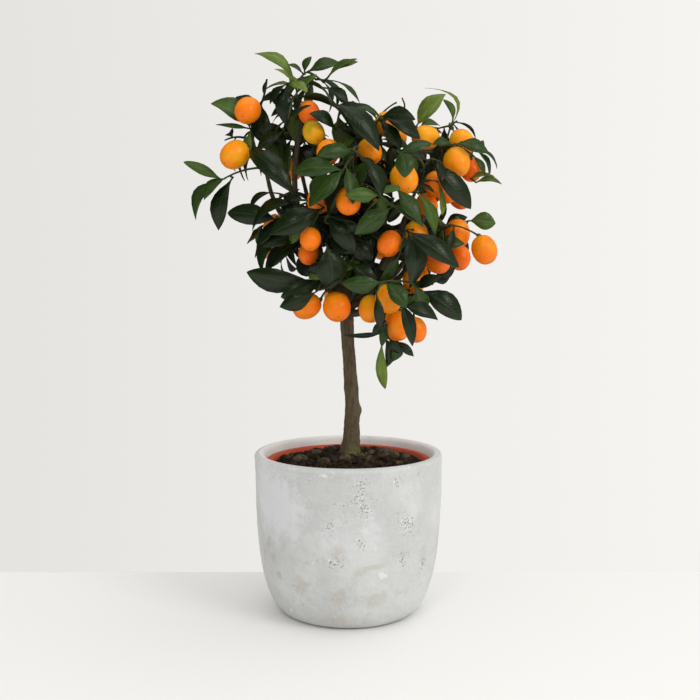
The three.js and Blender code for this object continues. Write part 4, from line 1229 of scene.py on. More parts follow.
# Marks on the pot's outside. Each is where it sits, turned from the front to the right in degrees and by its
# height, how far it spreads along and up in millimetres, and how strong it is.
POT_MARKS = {
    "pitted": [
        (36, 105, 12, 12, 1.45), (29, 147, 9, 6, 1.2), (44, 151, 6, 1.6, 1.3), (10, 122, 10, 8, 1.15),
        (-2, 127, 10, 5, 0.9), (-10, 106, 9, 7, 1.25), (-7, 153, 5, 4, 1), (7, 146, 9, 8, 1.1),
        (6, 134, 7, 6, 1), (6, 92, 7, 9, 1.05), (34, 72, 7, 9, 1.3), (53, 60, 6, 9, 1.3),
        (-10, 73, 12, 5, 1.35), (-22, 70, 5, 1, 2), (-4, 26, 1.6, 1.6, 2), (-22, 150, 1.8, 1.8, 1.6),
        (-34, 24, 14, 10, 0.8), (-48, 12, 10, 5, 0.8), (-6, 67, 6, 5, 0.8), (16, 88, 5, 6, 0.7),
        (-80, 110, 14, 10, 0.9), (110, 90, 16, 12, 1.2), (150, 50, 14, 12, 1), (-130, 120, 14, 8, 1),
        (180, 130, 10, 8, 0.9), (80, 130, 12, 7, 0.8), (-110, 40, 14, 10, 1),
    ],
    "scuffed": [
        (-14, 154, 7, 2.6, 1.6), (37, 158, 4, 1.5, 1.2), (21, 58, 7, 5, 1.8), (16, 85, 3, 3, 1.2),
        (-8, 62, 5, 3, 1), (10, 119, 8, 7, 0.7), (-45, 15, 4, 4, 1.3), (-7, 105, 8, 6, 0.6),
        (-34, 26, 8, 8, 0.6), (-49, 100, 3, 12, 0.5), (120, 60, 10, 6, 1.3), (-150, 90, 8, 6, 1.4),
        (170, 30, 9, 6, 1), (75, 100, 6, 8, 0.8), (-100, 140, 8, 3, 1),
    ],
    "warm": [
        (-6, 80, 9, 10, 1), (-7, 38, 9, 9, 1), (-31, 43, 16, 12, 0.8), (34, 79, 12, 12, 0.6),
        (52, 70, 8, 14, 0.9), (46, 98, 7, 12, 0.7), (-57, 72, 9, 16, 0.8), (-25, 78, 16, 9, 0.5),
        (-6, 12, 60, 8, 0.8), (20, 34, 60, 14, 0.45), (140, 70, 24, 16, 0.9), (-140, 60, 20, 14, 0.9),
        (180, 110, 18, 10, 0.6),
    ],
    "mossy": [
        (17, 67, 14, 2.6, 1.4), (6, 62, 10, 4, 1), (16, 30, 14, 8, 0.9), (23, 37, 9, 6, 0.8),
        (-6, 150, 12, 5, 0.7), (29, 147, 10, 6, 0.8), (0, 116, 16, 12, 0.35), (100, 40, 20, 12, 0.9),
        (-170, 80, 20, 10, 0.8),
    ],
    "dull": [
        (-53, 66, 6, 6, 1), (-48, 50, 8, 5, 0.9), (-37, 43, 8, 4, 0.8), (-57, 82, 5, 8, 1),
        (-66, 60, 6, 16, 0.7), (35, 66, 4, 9, 0.5), (54, 62, 5, 9, 0.7), (5, 60, 9, 3, 0.4),
        (-8, 26, 6, 4, 0.5), (118, 100, 14, 10, 0.8), (-120, 70, 12, 12, 0.8),
    ],
    "cool": [
        (-42, 118, 30, 34, 1.2), (-62, 130, 20, 40, 0.8), (-10, 92, 12, 14, 0.6), (12, 108, 14, 22, 0.6),
        (-34, 30, 14, 8, 0.5), (130, 120, 30, 30, 0.8), (-160, 60, 30, 24, 0.8),
    ],
    "pale": [],
}
# The same for the inside of the wall above the soil, which shows over the front rim. There pale is
# painted light that brightens the whole upper inside wall, and warm and dull make the back right darker
# and browner, partly as a brown stain and partly as painted shade.
INSIDE_MARKS = {
    # Back right of the inside: warm and dull darken and brown it, partly a stain and partly painted shade
    "warm": [(135, 155, 26, 9, 1.3), (112, 152, 20, 8, 0.8), (-150, 152, 22, 5, 0.6)],
    "dull": [(152, 156, 20, 5, 0.9), (120, 158, 10, 4, 0.8)],
    "pitted": [(118, 158, 12, 5, 1.2), (165, 158, 10, 4, 0.9), (-160, 157, 14, 4, 0.8)],
    "pale": [(turn, 150, 60, 40, 0.9) for turn in (-120, -60, 0, 60, 120, 180)],
}


def marks_on(grid, marks):
    """Each mark is a bell curve of the distance along and up the wall over its spread, and they add up."""
    turn = np.degrees(np.arctan2(grid[..., 0], -grid[..., 1]))
    total = np.zeros(grid.shape[:2])
    for angle, height, along, up, strength in marks:
        apart = ((turn - angle + 180) % 360 - 180) * math.radians(POT_RADIUS) / along
        total += strength * np.exp(-(apart**2) - ((grid[..., 2] - height) / up) ** 2)
    return np.minimum(total, MOST_MARKED)


def pot_profile():
    """From the axis under the foot, up the outside, over the half-round rim and down the inside to the axis,
    and how many of its points lie outside."""
    half = POT_WALL / 2
    foot = at([1, 0], [30, 0], [POT_FOOT_RADIUS - 2, 0])
    rise = np.concatenate([POT_FOOT_RISE, np.linspace(5.4, POT_HEIGHT - half, POT_OUTER_RINGS)])
    outer = np.stack([pot_radius(rise), rise], -1)
    turn = np.radians(np.linspace(8, 172, POT_RIM_RINGS))
    rim = np.stack([POT_RADIUS - half + half * np.cos(turn), POT_HEIGHT - half + half * np.sin(turn)], -1)
    fall = np.linspace(POT_HEIGHT - half, POT_FLOOR + 8, POT_INNER_RINGS)
    inner = np.stack([pot_radius(fall) - POT_WALL, fall], -1)
    floor = at([float(pot_radius(14.0)) - POT_WALL - 3, POT_FLOOR], [30, POT_FLOOR], [1, POT_FLOOR])
    outside = len(foot) + len(rise) + POT_RIM_RINGS // 2
    return np.concatenate([foot, outer, rim, inner, floor]), outside


def make_pot():
    """The pot's wall is its profile turned about the axis. The surface is moved along its radius by a slow
    hand-made waviness and by small round pits in clusters, each a bell curve of the way to its middle."""
    profile, outside = pot_profile()
    grid = spun(profile, POT_SIDES)
    turn, rise = np.arctan2(grid[..., 1], grid[..., 0]), grid[..., 2]
    wave = ripples(grid, POT_WAVES)
    rng = np.random.default_rng(PIT_SEED)
    clusters = np.stack([rng.uniform(*span, PIT_CLUSTERS) for span in ((-math.pi, math.pi), PIT_HEIGHTS)], -1)
    home = clusters[rng.integers(0, PIT_CLUSTERS, PIT_COUNT)]
    for angle, height in home + rng.normal(size=(PIT_COUNT, 2)) * PIT_SPREAD:
        width, depth = rng.uniform(*PIT_WIDTH), rng.uniform(*PIT_DEPTH)
        rows = np.nonzero(np.abs(rise[:POT_PITTED_RINGS, 0] - height) < 6)[0]
        apart = (np.angle(np.exp(1j * (turn[rows] - angle))) * POT_RADIUS) ** 2 + (rise[rows] - height) ** 2
        wave[rows] -= depth * np.exp(-apart / width**2)
    fade = np.clip(rise / 6, 0, 1) * np.clip((POT_HEIGHT + 4 - rise) / 8, 0, 1)
    is_outside = (np.arange(len(grid)) < outside)[:, None]
    layers = {
        name: np.where(is_outside, marks_on(grid, marks), marks_on(grid, INSIDE_MARKS.get(name, ())))
        for name, marks in POT_MARKS.items()
    }
    out = grid * at(1, 1, 0)
    out /= np.linalg.norm(out, axis=2, keepdims=True)
    grid = grid + out * ((wave - POT_SUNK) * fade)[..., None]
    make_piece("concrete_pot", closed(grid), concrete_material(), ["pot"], layers=layers)


GROWER_SIDES = 160


def grower_radius(height):
    return mix(GROWER_FOOT_RADIUS, GROWER_TOP_RADIUS, (height - GROWER_FOOT) / (GROWER_TOP - GROWER_FOOT))


def make_grower_pot():
    """A tapered plastic wall with a rolled rim: its profile turned about the axis."""
    rim_foot, floor = GROWER_TOP - GROWER_RIM_DEPTH, GROWER_FOOT + GROWER_WALL
    rise = np.linspace(GROWER_FOOT, rim_foot, 12)
    turn = np.radians(np.linspace(0, 90, 6))
    lip_middle = at(GROWER_RIM_RADIUS, GROWER_TOP) - GROWER_LIP
    lip = lip_middle + GROWER_LIP * np.stack([np.cos(turn), np.sin(turn)], -1)
    fall = np.linspace(GROWER_TOP - 1, floor, 14)
    profile = np.concatenate([
        at([1, GROWER_FOOT], [40, GROWER_FOOT]),
        np.stack([grower_radius(rise), rise], -1),
        at([GROWER_RIM_RADIUS - 0.4, rim_foot], [GROWER_RIM_RADIUS, rim_foot + 0.6]),
        lip,
        at([grower_radius(GROWER_TOP) - GROWER_WALL + 1, GROWER_TOP]),
        np.stack([grower_radius(fall) - GROWER_WALL, fall], -1),
        at([40, floor], [1, floor]),
    ])
    wall = closed(spun(profile, GROWER_SIDES))
    make_piece("grower_pot_wall", wall, plastic_material(), ["grower_pot"])


def soil_height(radius):
    edge = grower_radius(SOIL_EDGE) - GROWER_WALL - GAP
    share = np.clip((radius - SOIL_FLAT_RADIUS) / (edge - SOIL_FLAT_RADIUS), 0, 1)
    return SOIL_TOP - (SOIL_TOP - SOIL_EDGE) * share**SOIL_FALL


def lumps(middles, sizes, seed, rows, sides, flat, rough):
    """Rough clods: spheres of rows and sides, stretched at random, flattened by flat and turned about the
    upright, with their radius moved by ripples."""
    rng = np.random.default_rng(seed)
    fall = np.linspace(0.12, math.pi - 0.12, rows)
    ball = spun(np.stack([np.sin(fall), np.cos(fall)], -1), sides)
    count = len(middles)
    stretch = rng.uniform(0.75, 1.2, (count, 1, 1, 3)) * at(1, 1, flat)
    spin = rng.uniform(0, 2 * math.pi, (count, 1, 1))
    bumpy = 1 + rough * ripple(ball + rng.uniform(0, 50, (count, 1, 1, 3)), 1.5, seed, 8)
    x, y, z = np.moveaxis(ball * stretch * bumpy[..., None] * sizes[:, None, None, None], -1, 0)
    c, s = np.cos(spin), np.sin(spin)
    return closed(np.stack([x * c - y * s, x * s + y * c, z], -1) + middles[:, None, None])


SOIL_SIDES = 260
SOIL_ROOM = 0.1
SOIL_SUNK = 0.6
SOIL_WAVES = ((1.3, 26, 31), (1.0, 12, 32))
CRUMB_SEED = 7
CRUMB_SHAPE_SEED = 8
CRUMB_COUNT = 330
CRUMB_LIFT = 0.4
CLOD_SEED = 21
CLOD_LIFT = 0.12
# The clods: where each is, and its size
SOIL_CLODS = at(
    [40, 2, 9.5], [21, -28, 7], [14, 34, 4.5], [31, 36, 5], [58, 6, 5.5], [50, -24, 4.5], [-19, 34, 6],
    [-33, 16, 6.5], [-3, -20, 6.5], [24, 12, 5], [-48, -14, 7], [-24, -30, 6], [-60, 14, 5],
)
MOSS_FROM_TRUNK = at(3, -9)
MOSS_REACH = 15


def moss_near(places):
    """The moss at the trunk's foot: a bell curve of the distance to a spot in front of it."""
    apart = ((places[..., :2] - TRUNK_LINE[0, :2] - MOSS_FROM_TRUNK) ** 2).sum(-1)
    return 1.2 * np.exp(-apart / MOSS_REACH**2)


def potting_soil(edge):
    """Soil heaped round the trunk: a disc whose height is the source's curve plus ripples of several sizes,
    calmer at its edge, closed by a wall and a flat bottom."""
    radius = np.concatenate([at(0.6), np.linspace(2, edge, 80)])
    grid = spun(np.stack([radius, 0 * radius], -1), SOIL_SIDES)
    coarse = ripples(grid, SOIL_WAVES)
    fine = 0.55 * np.abs(ripple(grid, 6, 33)) + 0.35 * ripple(grid, 3.2, 34)
    calm = np.clip((edge + 4 - radius) / 10, 0.25, 1)[:, None]
    grid[..., 2] = soil_height(radius)[:, None] + (coarse + fine) * calm - SOIL_SUNK
    foot = GROWER_FOOT + GROWER_WALL + GAP
    wall = at([edge, SOIL_EDGE - 6], [grower_radius(foot) - GROWER_WALL - SOIL_ROOM, foot], [1, foot])
    return closed(np.concatenate([grid, spun(wall, SOIL_SIDES)]))


def soil_crumbs(edge):
    """Small crumbs strewn evenly over the soil, of seeded sizes."""
    rng = np.random.default_rng(CRUMB_SEED)
    radius = edge * np.sqrt(rng.uniform(0.02, 0.94, CRUMB_COUNT))
    turn = rng.uniform(0, 2 * math.pi, CRUMB_COUNT)
    middles = np.stack([radius * np.cos(turn), radius * np.sin(turn), soil_height(radius) + CRUMB_LIFT], -1)
    sizes = rng.gamma(2.2, 0.62, CRUMB_COUNT) + 0.5
    return lumps(middles, sizes, CRUMB_SHAPE_SEED, rows=5, sides=7, flat=0.75, rough=0.2)


def soil_clods():
    """The clods that show in the photo, each half sunk in the soil."""
    x, y, size = SOIL_CLODS.T
    middles = np.stack([x, y, soil_height(np.hypot(x, y)) + size * CLOD_LIFT], -1)
    return lumps(middles, size, CLOD_SEED, rows=16, sides=24, flat=0.66, rough=0.075)


def make_soil():
    edge = grower_radius(SOIL_EDGE) - GROWER_WALL - SOIL_ROOM
    earth = soil_material("potting_soil", (0.009, 0.006, 0.004), (0.045, 0.030, 0.017), (0.11, 0.075, 0.04))
    crumb = soil_material("soil_crumbs", (0.010, 0.007, 0.005), (0.058, 0.041, 0.024), (0.13, 0.095, 0.05))
    clod = soil_material("garden_stone", (0.030, 0.022, 0.013), (0.115, 0.088, 0.052), (0.20, 0.165, 0.10))
    for name, shape, material, slot, replaced in (
        ("potting_soil", potting_soil(edge), earth, "soil", ["soil"]),
        ("soil_crumbs", soil_crumbs(edge), crumb, "soil", []),
        ("soil_stones", soil_clods(), clod, "stone", []),
    ):
        make_piece(name, shape, material, replaced, layers={"mossy": moss_near(shape[0])})


# The tree


def smooth_line(points, count):
    """A Catmull-Rom spline: each stretch is the cubic through its ends whose tangents are half the chord
    between the neighbours, read at count even steps."""
    padded = np.concatenate([[2 * points[0] - points[1]], points, [2 * points[-1] - points[-2]]])
    spot = np.linspace(0, len(points) - 1, count)
    index = np.minimum(spot.astype(int), len(points) - 2)
    t = (spot - index)[:, None]
    a, b, c, d = (padded[index + k] for k in range(4))
    return 0.5 * (2 * b + (c - a) * t + (2 * a - 5 * b + 4 * c - d) * t**2 + (3 * b - a - 3 * c + d) * t**3)


TRUNK_RINGS = 110
TRUNK_SIDES = 48
TRUNK_CROWN_RADII = at(6, 5.5, 4.6, 3.2, 1.2)
BOUGH_STEPS = 30
BOUGH_SIDES = 14
TWIG_SIDES = 7
TWIG_RADII = np.linspace(1.25, 0.75, 7)
STALK_RADII = at(0.9, 0.75, 0.75, 0.8, 0.95, 1.2)
STALK_RISE = at(0, 0, 0.06)
# Swellings on the trunk: where each is, how far it rises and how wide it is
KNOTS = at(
    [-9, 12, 219, 2.6, 5], [10, 12, 200, 2.2, 5], [-4, 5, 262, 1.6, 4], [5, 6, 292, 1.8, 4],
    [2, 20, 240, 2, 5],
)


def trunk_relief(places, turn):
    """The trunk's radius is scaled by slow swellings, long narrow ridges, fine grain, knots and three low
    roots at the foot."""
    ridges = ripple(places * at(1, 1, 0.22), 3.4, 42)
    scale = 1 + 0.035 * ripple(places, 34, 41) + 0.035 * ridges + 0.015 * ripple(places, 2.4, 43)
    for x, y, z, rise, width in KNOTS:
        apart = ((places - at(x, y, z)) ** 2).sum(-1)
        scale = scale + rise / TRUNK_RADIUS * np.exp(-apart / width**2)
    foot = np.exp(-(places[..., 2] - SOIL_TOP) / 9)
    lobes = np.cos(3 * turn + 0.9) + 0.5 * np.cos(2 * turn - 0.4)
    return scale + 0.13 * np.clip(foot, 0, 1.3) * lobes


def make_trunk():
    """A round section carried up the trunk's line: it tapers, swells to the root flare at the soil, and
    closes in a low crown."""
    line = smooth_line(TRUNK_LINE, TRUNK_RINGS)
    share = np.linspace(0, 1, TRUNK_RINGS)
    height = share * (TRUNK_LINE[-1, 2] - SOIL_TOP)
    radius = mix(TRUNK_RADIUS, TRUNK_TOP_RADIUS, share) + ROOT_FLARE * np.exp(-height / ROOT_FLARE_HEIGHT)
    crown = TRUNK_LINE[-1] + at(0, 0, 4) * np.linspace(0, 1, 6)[1:, None]
    line, radius = np.concatenate([line, crown]), np.concatenate([radius, TRUNK_CROWN_RADII])
    trunk = tubes(line[None], radius[None], TRUNK_SIDES, trunk_relief)
    places = trunk[0]
    moss = 1.3 * np.exp(-np.maximum(places[:, 2] - SOIL_TOP, 0) / 9) * (places[:, 0] > TRUNK_LINE[0, 0] - 5)
    grey, brown, green = (0.140, 0.103, 0.060), (0.068, 0.048, 0.030), (0.125, 0.110, 0.052)
    bark = bark_material("trunk_bark", brown, grey, green, has_moss=True)
    make_piece("trunk_bark", trunk, bark, ["trunk"], layers={"mossy": moss})


def bough_relief(places, turn):
    return 1 + 0.05 * ripple(places, 12, 51) + 0.05 * ripple(places * at(1, 1, 0.3), 3, 52)


def make_boughs(boughs, masses):
    """Each bough is a round section carried along its bowed line and on, thinner, to its mass's heart."""
    shapes = []
    for mass in masses:
        bough = boughs[mass.name]
        line = bowed(bough["start"], bough["end"], bough["bow"], BOUGH_STEPS)
        radius = limb_radius(bough["radius"], np.linspace(0, 1, BOUGH_STEPS + 1))
        stem = mix(bough["end"], mass.heart, np.linspace(0, 1, 7)[1:, None])
        stem_radius = np.linspace(STEM_RADIUS, 1.2, 6)
        line, radius = np.concatenate([line, stem]), np.concatenate([radius, stem_radius])
        shapes.append(tubes(line[None], radius[None], BOUGH_SIDES, bough_relief))
    wood = bark_material("bough_bark", (0.035, 0.027, 0.015), (0.095, 0.072, 0.042), (0.06, 0.07, 0.03))
    make_piece("boughs", joined(shapes), wood, ["bough_" + mass.name for mass in masses])


def lines_with(radii, lines):
    """Tubes along bowed lines (start, end, bow), with the same radii each."""
    places = np.array([bowed(*line, len(radii) - 1) for line in lines])
    return tubes(places, np.repeat(radii[None], len(lines), 0), TWIG_SIDES)


def make_twigs(masses):
    """Twigs and fruit stalks: round sections carried along bowed lines, thinner to their tips."""
    twigs = [(line[0], line[2], line[1] - (line[0] + line[2]) / 2) for mass in masses for line in mass.twigs]
    ends = [pair for mass in masses for pair in mass.stalks]
    stalks = [(start, end, STALK_RISE * np.linalg.norm(end - start)) for start, end in ends]
    green = bark_material("green_twig", (0.02, 0.026, 0.01), (0.06, 0.075, 0.028), (0.075, 0.11, 0.035))
    shape = joined([lines_with(TWIG_RADII, twigs), lines_with(STALK_RADII, stalks)])
    make_piece("twigs", shape, green, ["foliage_" + mass.name for mass in masses])


LEAF_ROWS = at(0, 0.08, 0.16, 0.27, 0.4, 0.54, 0.68, 0.8, 0.89, 0.955, 1)
LEAF_ACROSS = at(-1, 0, 1, 1, 0, -1)
LEAF_SHEET = at(1, 1, 1, -1, -1, -1)
# How leaves differ: each takes a value between these two
LEAF_SKEW = (0.85, 1.15)
LEAF_TIP_ROUND = (0.6, 1.0)
LEAF_HALF_BREADTH = (0.5, 0.56)
LEAF_FOLD = (4, 24)
LEAF_WAVE_RISE = (0.04, 0.16)
LEAF_WAVE_PACE = (6, 11)
LEAF_WAVE_START = (0, 6)
LEAF_TWIST = (-38, 38)
LEAF_SWEEP = (-0.07, 0.07)
LEAF_CURL = (-0.04, 0.2)
LEAF_BOW = (0.04, 0.12)
LEAF_EDGE_SIDES = (2, 5)
LEAF_UNDER_SIDES = (3, 4)


def leaf_surfaces(leaves, seed):
    """Leaves as closed thin blades: a section of three points above and three below, carried along each
    midrib. Half width: the sine of the blade's share, to a power that rounds the foot and, more or less, the
    tip. Height: the midrib's arch less a curl that grows with the cube of the share, plus the fold of both
    halves upwards from the midrib, plus a slow wave at the margins. The whole section turns from root to tip,
    and the midrib bows to one side."""
    rng = np.random.default_rng(seed)
    get = lambda key: np.array([leaf[key] for leaf in leaves])
    root, way, face = get("root"), get("way"), get("face")
    length, width = get("length")[:, None, None], get("width")[:, None, None]
    count = len(leaves)
    draw = lambda span: rng.uniform(*span, (count, 1, 1))
    u = LEAF_ROWS[None, :, None]
    across, sheet = LEAF_ACROSS[None, None], LEAF_SHEET[None, None]
    blade = np.clip((u - 0.1) / 0.9, 0, 1) ** draw(LEAF_SKEW)
    shape = np.sin(math.pi * blade) ** np.where(blade < 0.5, 0.85, draw(LEAF_TIP_ROUND))
    petiole = 0.65 * (1 - np.clip((u - 0.1) / 0.1, 0, 1))
    half = np.maximum(np.maximum(petiole, width * draw(LEAF_HALF_BREADTH) * shape), 0.22)
    fold = np.radians(draw(LEAF_FOLD))
    wave = np.abs(across) * np.minimum(half, width / 2) * draw(LEAF_WAVE_RISE)
    wave = wave * np.sin(u * draw(LEAF_WAVE_PACE) + 1.3 * np.sign(across) + draw(LEAF_WAVE_START))
    lift = np.abs(across) * half * np.sin(fold) + wave
    x, y = across * half * np.cos(fold), lift + sheet * np.where(u < 0.12, 0.6, 0.2)
    twist = np.radians(draw(LEAF_TWIST)) * (u - 0.4)
    x, y = x * np.cos(twist) - y * np.sin(twist), x * np.sin(twist) + y * np.cos(twist)
    bow = 4 * u * (1 - u) * length
    sweep = np.array([leaf["sweep"] for leaf in leaves], float)[:, None, None]
    sweep = np.where(np.isnan(sweep), draw(LEAF_SWEEP), sweep)
    curl = draw(LEAF_CURL)
    x, y = x + sweep * bow, y + draw(LEAF_BOW) * bow - length * curl * u**3
    side = np.cross(face, way)
    each = lambda vector: vector[:, None, None, :]
    places = each(root) + each(way) * (u * length + 0 * x)[..., None]
    places = places + each(side) * x[..., None] + each(face) * y[..., None]
    vertices, quads, caps = closed(places)
    uv = np.tile(leaf_map(), (count, 1, 1))
    side_of = np.tile(np.arange(len(LEAF_ACROSS)), count * (len(LEAF_ROWS) - 1))
    under = np.isin(side_of, LEAF_UNDER_SIDES)
    quads[under], uv[under] = np.roll(quads[under], -1, axis=1), np.roll(uv[under], -1, axis=1)
    return (vertices, quads, caps), uv, np.isin(side_of, LEAF_EDGE_SIDES)


def leaf_map():
    """A leaf's places on its map: across the upper side in its first half, the lower side in its second, each
    with a narrow strip for the edge beside it, and from root to tip."""
    blade = at(0, 0.25, 0.5) * LEAF_MAP_BLADE
    return np.clip(quad_map(np.concatenate([blade, 0.5 + blade, [1]]), LEAF_ROWS), 0.002, 0.998)


GREEN_SEED = 77
BLADE_SEED = 60
# Each green: the upper side, the lower side, the ribs and the roughness above. The two darkest greens are
# darker than the leaves' own green: painted shade, for leaves in the crown's shade. The two palest are
# partly young leaves and partly painted light, for leaves that the light falls on or shines through.
LEAF_TINTS = {
    "deep": ((0.0045, 0.0098, 0.0022), (0.022, 0.036, 0.010), (0.013, 0.027, 0.007), 0.30),
    "dark": ((0.0068, 0.0150, 0.0025), (0.034, 0.052, 0.014), (0.024, 0.047, 0.009), 0.31),
    "mid": ((0.0200, 0.0450, 0.0055), (0.054, 0.088, 0.020), (0.054, 0.098, 0.017), 0.33),
    "fresh": ((0.042, 0.083, 0.0085), (0.078, 0.122, 0.024), (0.095, 0.155, 0.024), 0.36),
    "light": ((0.100, 0.152, 0.018), (0.130, 0.180, 0.032), (0.170, 0.230, 0.040), 0.40),
}


def wild_tint(root, chance):
    """The green of a leaf of the rule's own: darker inside the crown, as painted shade, and now and then pale
    at its outside, partly young growth and partly painted light.
    """
    out = np.linalg.norm((root - CROWN_MIDDLE) / CROWN_REACH)
    if out > 0.7 and chance < 0.16:
        return "light" if chance < 0.04 else "fresh"
    # Painted shade: the deeper in the crown, the darker the green
    return "mid" if chance < out * 0.5 else "dark" if chance < 0.45 + out * 0.3 else "deep"


def make_leaves(masses):
    """Leaves dealt out to their greens, partly painted light and shade: named shoots have their own, and
    the rule's get theirs by chance and by how deep in the crown they sit.
    """
    roll = dice(GREEN_SEED)
    sprays = {tint: [] for tint in LEAF_TINTS}
    for mass in masses:
        for leaf in mass.leaves:
            wild = wild_tint(leaf["root"], roll(0, 1))
            sprays[leaf["tint"] or wild].append(leaf)
    for number, (tint, (top, under, rib, roughness)) in enumerate(LEAF_TINTS.items()):
        shape, uv, flat = leaf_surfaces(sprays[tint], BLADE_SEED + number)
        material = leaf_material("leaf_" + tint, top, under, rib, roughness)
        make_piece("leaves_" + tint, shape, material, uv=uv, flat=flat)


# The peel at the stalk's end and at the far end
FRUIT_TINTS = {
    "olive": ((0.44, 0.33, 0.006), (0.86, 0.40, 0.004)),
    "yellow": ((0.84, 0.38, 0.005), (0.93, 0.27, 0.003)),
    "orange": ((0.93, 0.275, 0.004), (0.93, 0.195, 0.003)),
    "deep": ((0.90, 0.215, 0.004), (0.86, 0.150, 0.004)),
}
FRUIT_FINISHED_SHARE = 0.955
FRUIT_ROWS = 22
FRUIT_SIDES = 28
RIPE_SEED = 91
# Calyx and navel, in shares of the fruit's radius: the radius and the height of each row
CALYX_SIDES = 20
CALYX_SIZE = at(0.02, 0.6, 0.95, 1.0, 0.5, 0.02)[:, None]
CALYX_HEIGHT = at(-1.42, -1.34, -1.16, -1.08, -1.05, -1.05)[:, None]
NAVEL_SIZE = at(0.02, 1.0, 0.8, 0.02)[:, None]
NAVEL_HEIGHT = at(1.1, 1.13, 1.17, 1.18)[:, None]


def on_fruits(fruits, radius, height):
    """Surfaces of revolution about each fruit's axis: radius and height by row, in shares of its radius."""
    way, middle, size = (np.array([fruit[key] for fruit in fruits]) for key in ("way", "middle", "radius"))
    across = np.cross(way, at(0.2, 0.9, 0.35))
    across /= np.linalg.norm(across, axis=1, keepdims=True)
    turn = round_turn(radius.shape[1])
    x, y, z = (part[..., None] for part in (radius * np.cos(turn), radius * np.sin(turn), height + 0 * turn))
    each = lambda vector: vector[:, None, None, :]
    places = each(across) * x + each(np.cross(way, across)) * y + each(way) * z
    return closed(each(middle) + places * (size * FRUIT_FINISHED_SHARE)[:, None, None, None])


def make_fruits(masses):
    """Oval fruits: radius sin(a) to the power 0.94 and height -1.2 cos(a) for a from stalk to far end, with a
    shallow dimple at both ends and five faint lengthwise swellings, dealt out by ripeness."""
    roll = dice(RIPE_SEED)
    baskets = {tint: [] for tint in FRUIT_TINTS}
    for mass in masses:
        for fruit in mass.fruits:
            chance = roll(0, 1)
            wild = "deep" if chance < 0.3 else "orange" if chance < 0.7 else "yellow"
            baskets[fruit["ripe"] or wild].append(fruit)
    fall = np.linspace(0.05, math.pi - 0.05, FRUIT_ROWS)[:, None]
    radius = np.sin(fall) ** 0.94 * (1 + 0.012 * np.cos(5 * round_turn(FRUIT_SIDES)) * np.sin(fall) ** 2)
    dimples = 0.07 * np.exp(-((fall / 0.28) ** 2)) - 0.05 * np.exp(-(((math.pi - fall) / 0.2) ** 2))
    height = dimples - FRUIT_LENGTH_SHARE * np.cos(fall)
    peel_map = quad_map(np.arange(FRUIT_SIDES + 1) / FRUIT_SIDES, np.linspace(0, 1, FRUIT_ROWS))
    for tint, (skin, far_end) in FRUIT_TINTS.items():
        fruits, material = baskets[tint], peel_material("peel_" + tint, skin, far_end)
        uv = np.tile(peel_map, (len(fruits), 1, 1))
        make_piece("fruits_" + tint, on_fruits(fruits, radius, height), material, uv=uv)
    return [fruit for basket in baskets.values() for fruit in basket]


def make_calyxes(fruits):
    """A calyx is a low dome with five lobes at the stalk, and a navel scar a small dome on the far end."""
    turn = round_turn(CALYX_SIDES)
    dome = 0.2 * CALYX_SIZE * (1 + 0.28 * np.cos(5 * turn) * (CALYX_SIZE > 0.8))
    green = bark_material("calyx_green", (0.05, 0.075, 0.02), (0.11, 0.15, 0.045), (0.13, 0.17, 0.05))
    make_piece("calyxes", on_fruits(fruits, dome, CALYX_HEIGHT), green)
    scar = 0.055 * NAVEL_SIZE * (1 + 0.12 * np.cos(3 * turn))
    brown = bark_material("navel_brown", (0.30, 0.085, 0.010), (0.42, 0.14, 0.015), (0.30, 0.15, 0.02))
    make_piece("navels", on_fruits(fruits, scar, NAVEL_HEIGHT), brown)


# Floor, light and camera


# The stage is in metres.
TABLE_BACK = 0.107
TABLE_SIDE = 3.0
TABLE_THICKNESS = 0.04
CAMERA_PLACE = PHOTO_PLACE * MM
CAMERA_PITCH = 4.7
CAMERA_FOCAL_PIXELS = 952
FRAME_PIXELS = 700
# Lamps: where each is, the height of the spot on the axis that it lights, its width, its watts and its colour
LAMPS = {
    "window_right": ((1.5, -1.3, 1.6), 0.33, 0.9, 14, (1.0, 0.99, 0.97)),
    "top": ((0.2, 0.1, 2.1), 0.3, 1.2, 5, (1.0, 1.0, 1.0)),
    "front_high": ((-0.35, -1.35, 1.25), 0.36, 0.3, 2.2, (1.0, 1.0, 1.0)),
}


def make_table():
    """A plain pale table top: a flat slab that ends behind the pot."""
    rows = (-TABLE_SIDE, TABLE_BACK)
    corners = [(x, y, z) for z in (-TABLE_THICKNESS, 0) for y in rows for x in (-TABLE_SIDE, TABLE_SIDE)]
    faces = [(0, 2, 3, 1), (4, 5, 7, 6), (0, 1, 5, 4), (2, 6, 7, 3), (0, 4, 6, 2), (1, 3, 7, 5)]
    mesh = bpy.data.meshes.new("table_top")
    mesh.from_pydata(corners, [], faces)
    material = bpy.data.materials.new("pale_table")
    material.use_nodes = True
    shader = material.node_tree.nodes["Principled BSDF"]
    shader.inputs["Base Color"].default_value = (0.87, 0.87, 0.86, 1)
    shader.inputs["Roughness"].default_value = 0.6
    shader.inputs["Specular IOR Level"].default_value = 0.2
    mesh.materials.append(material)
    table = put_in_scene("table_top", mesh)


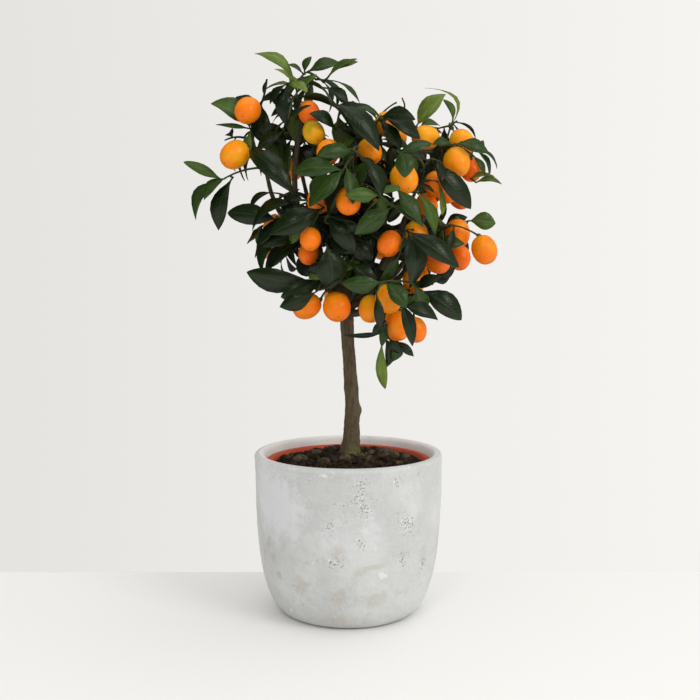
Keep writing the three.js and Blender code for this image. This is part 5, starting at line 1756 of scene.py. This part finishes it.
def make_sky():
    """A pale even sky, brighter to the right. What glossy surfaces mirror of it is dimmer, and dimmest on the
    left, as in a room with its window on the right."""
    world = bpy.data.worlds.new("pale_studio")
    bpy.context.scene.world = world
    world.use_nodes = True
    sky = Nodes(world.node_tree)
    across = sky.split(sky.node("ShaderNodeTexCoord").outputs["Generated"])[0]
    inputs = {"Value": across, "From Min": -1.0, "From Max": 1.0}
    share = sky.node("ShaderNodeMapRange", inputs).outputs["Result"]
    seen = sky.blend(share, (0.655, 0.64, 0.62), (1.06, 1.04, 1.01))
    mirrored = sky.blend(sky.maths("POWER", share, 2.0), (0.05, 0.052, 0.05), (0.42, 0.42, 0.41))
    is_mirrored = sky.node("ShaderNodeLightPath").outputs["Is Glossy Ray"]
    background = sky.tree.nodes["Background"]
    sky.put(background, "Color", sky.blend(is_mirrored, seen, mirrored))
    sky.put(background, "Strength", 1.0)


def add_lamp(name, place, aimed_at, width, power, colour):
    """A square lamp, turned down by its angle from the upright and round to the axis."""
    lamp = bpy.data.lights.new(name, "AREA")
    lamp.shape = "SQUARE"
    lamp.size, lamp.energy, lamp.color = width, power, colour
    x, y, z = at(0, 0, aimed_at) - at(*place)
    holder = put_in_scene(name, lamp)
    holder.location = place
    holder.rotation_euler = (math.atan2(math.hypot(x, y), -z), 0, math.atan2(y, x) - math.pi / 2)


def make_camera():
    camera = bpy.data.cameras.new("camera")
    camera.sensor_width = 36
    camera.lens = CAMERA_FOCAL_PIXELS / FRAME_PIXELS * camera.sensor_width
    camera.clip_start = 0.02
    holder = put_in_scene("camera", camera)
    holder.location = CAMERA_PLACE
    holder.rotation_euler = (math.radians(90 - CAMERA_PITCH), 0, 0)
    bpy.context.scene.camera = holder


make_camera()
make_table()
make_sky()
for name, lamp_row in LAMPS.items():
    add_lamp(name, *lamp_row)
bpy.context.scene.view_settings.view_transform = "Standard"

make_pot()
make_grower_pot()
make_soil()
boughs, masses = grow_crown()
make_trunk()
make_boughs(boughs, masses)
make_twigs(masses)
make_leaves(masses)
make_calyxes(make_fruits(masses))
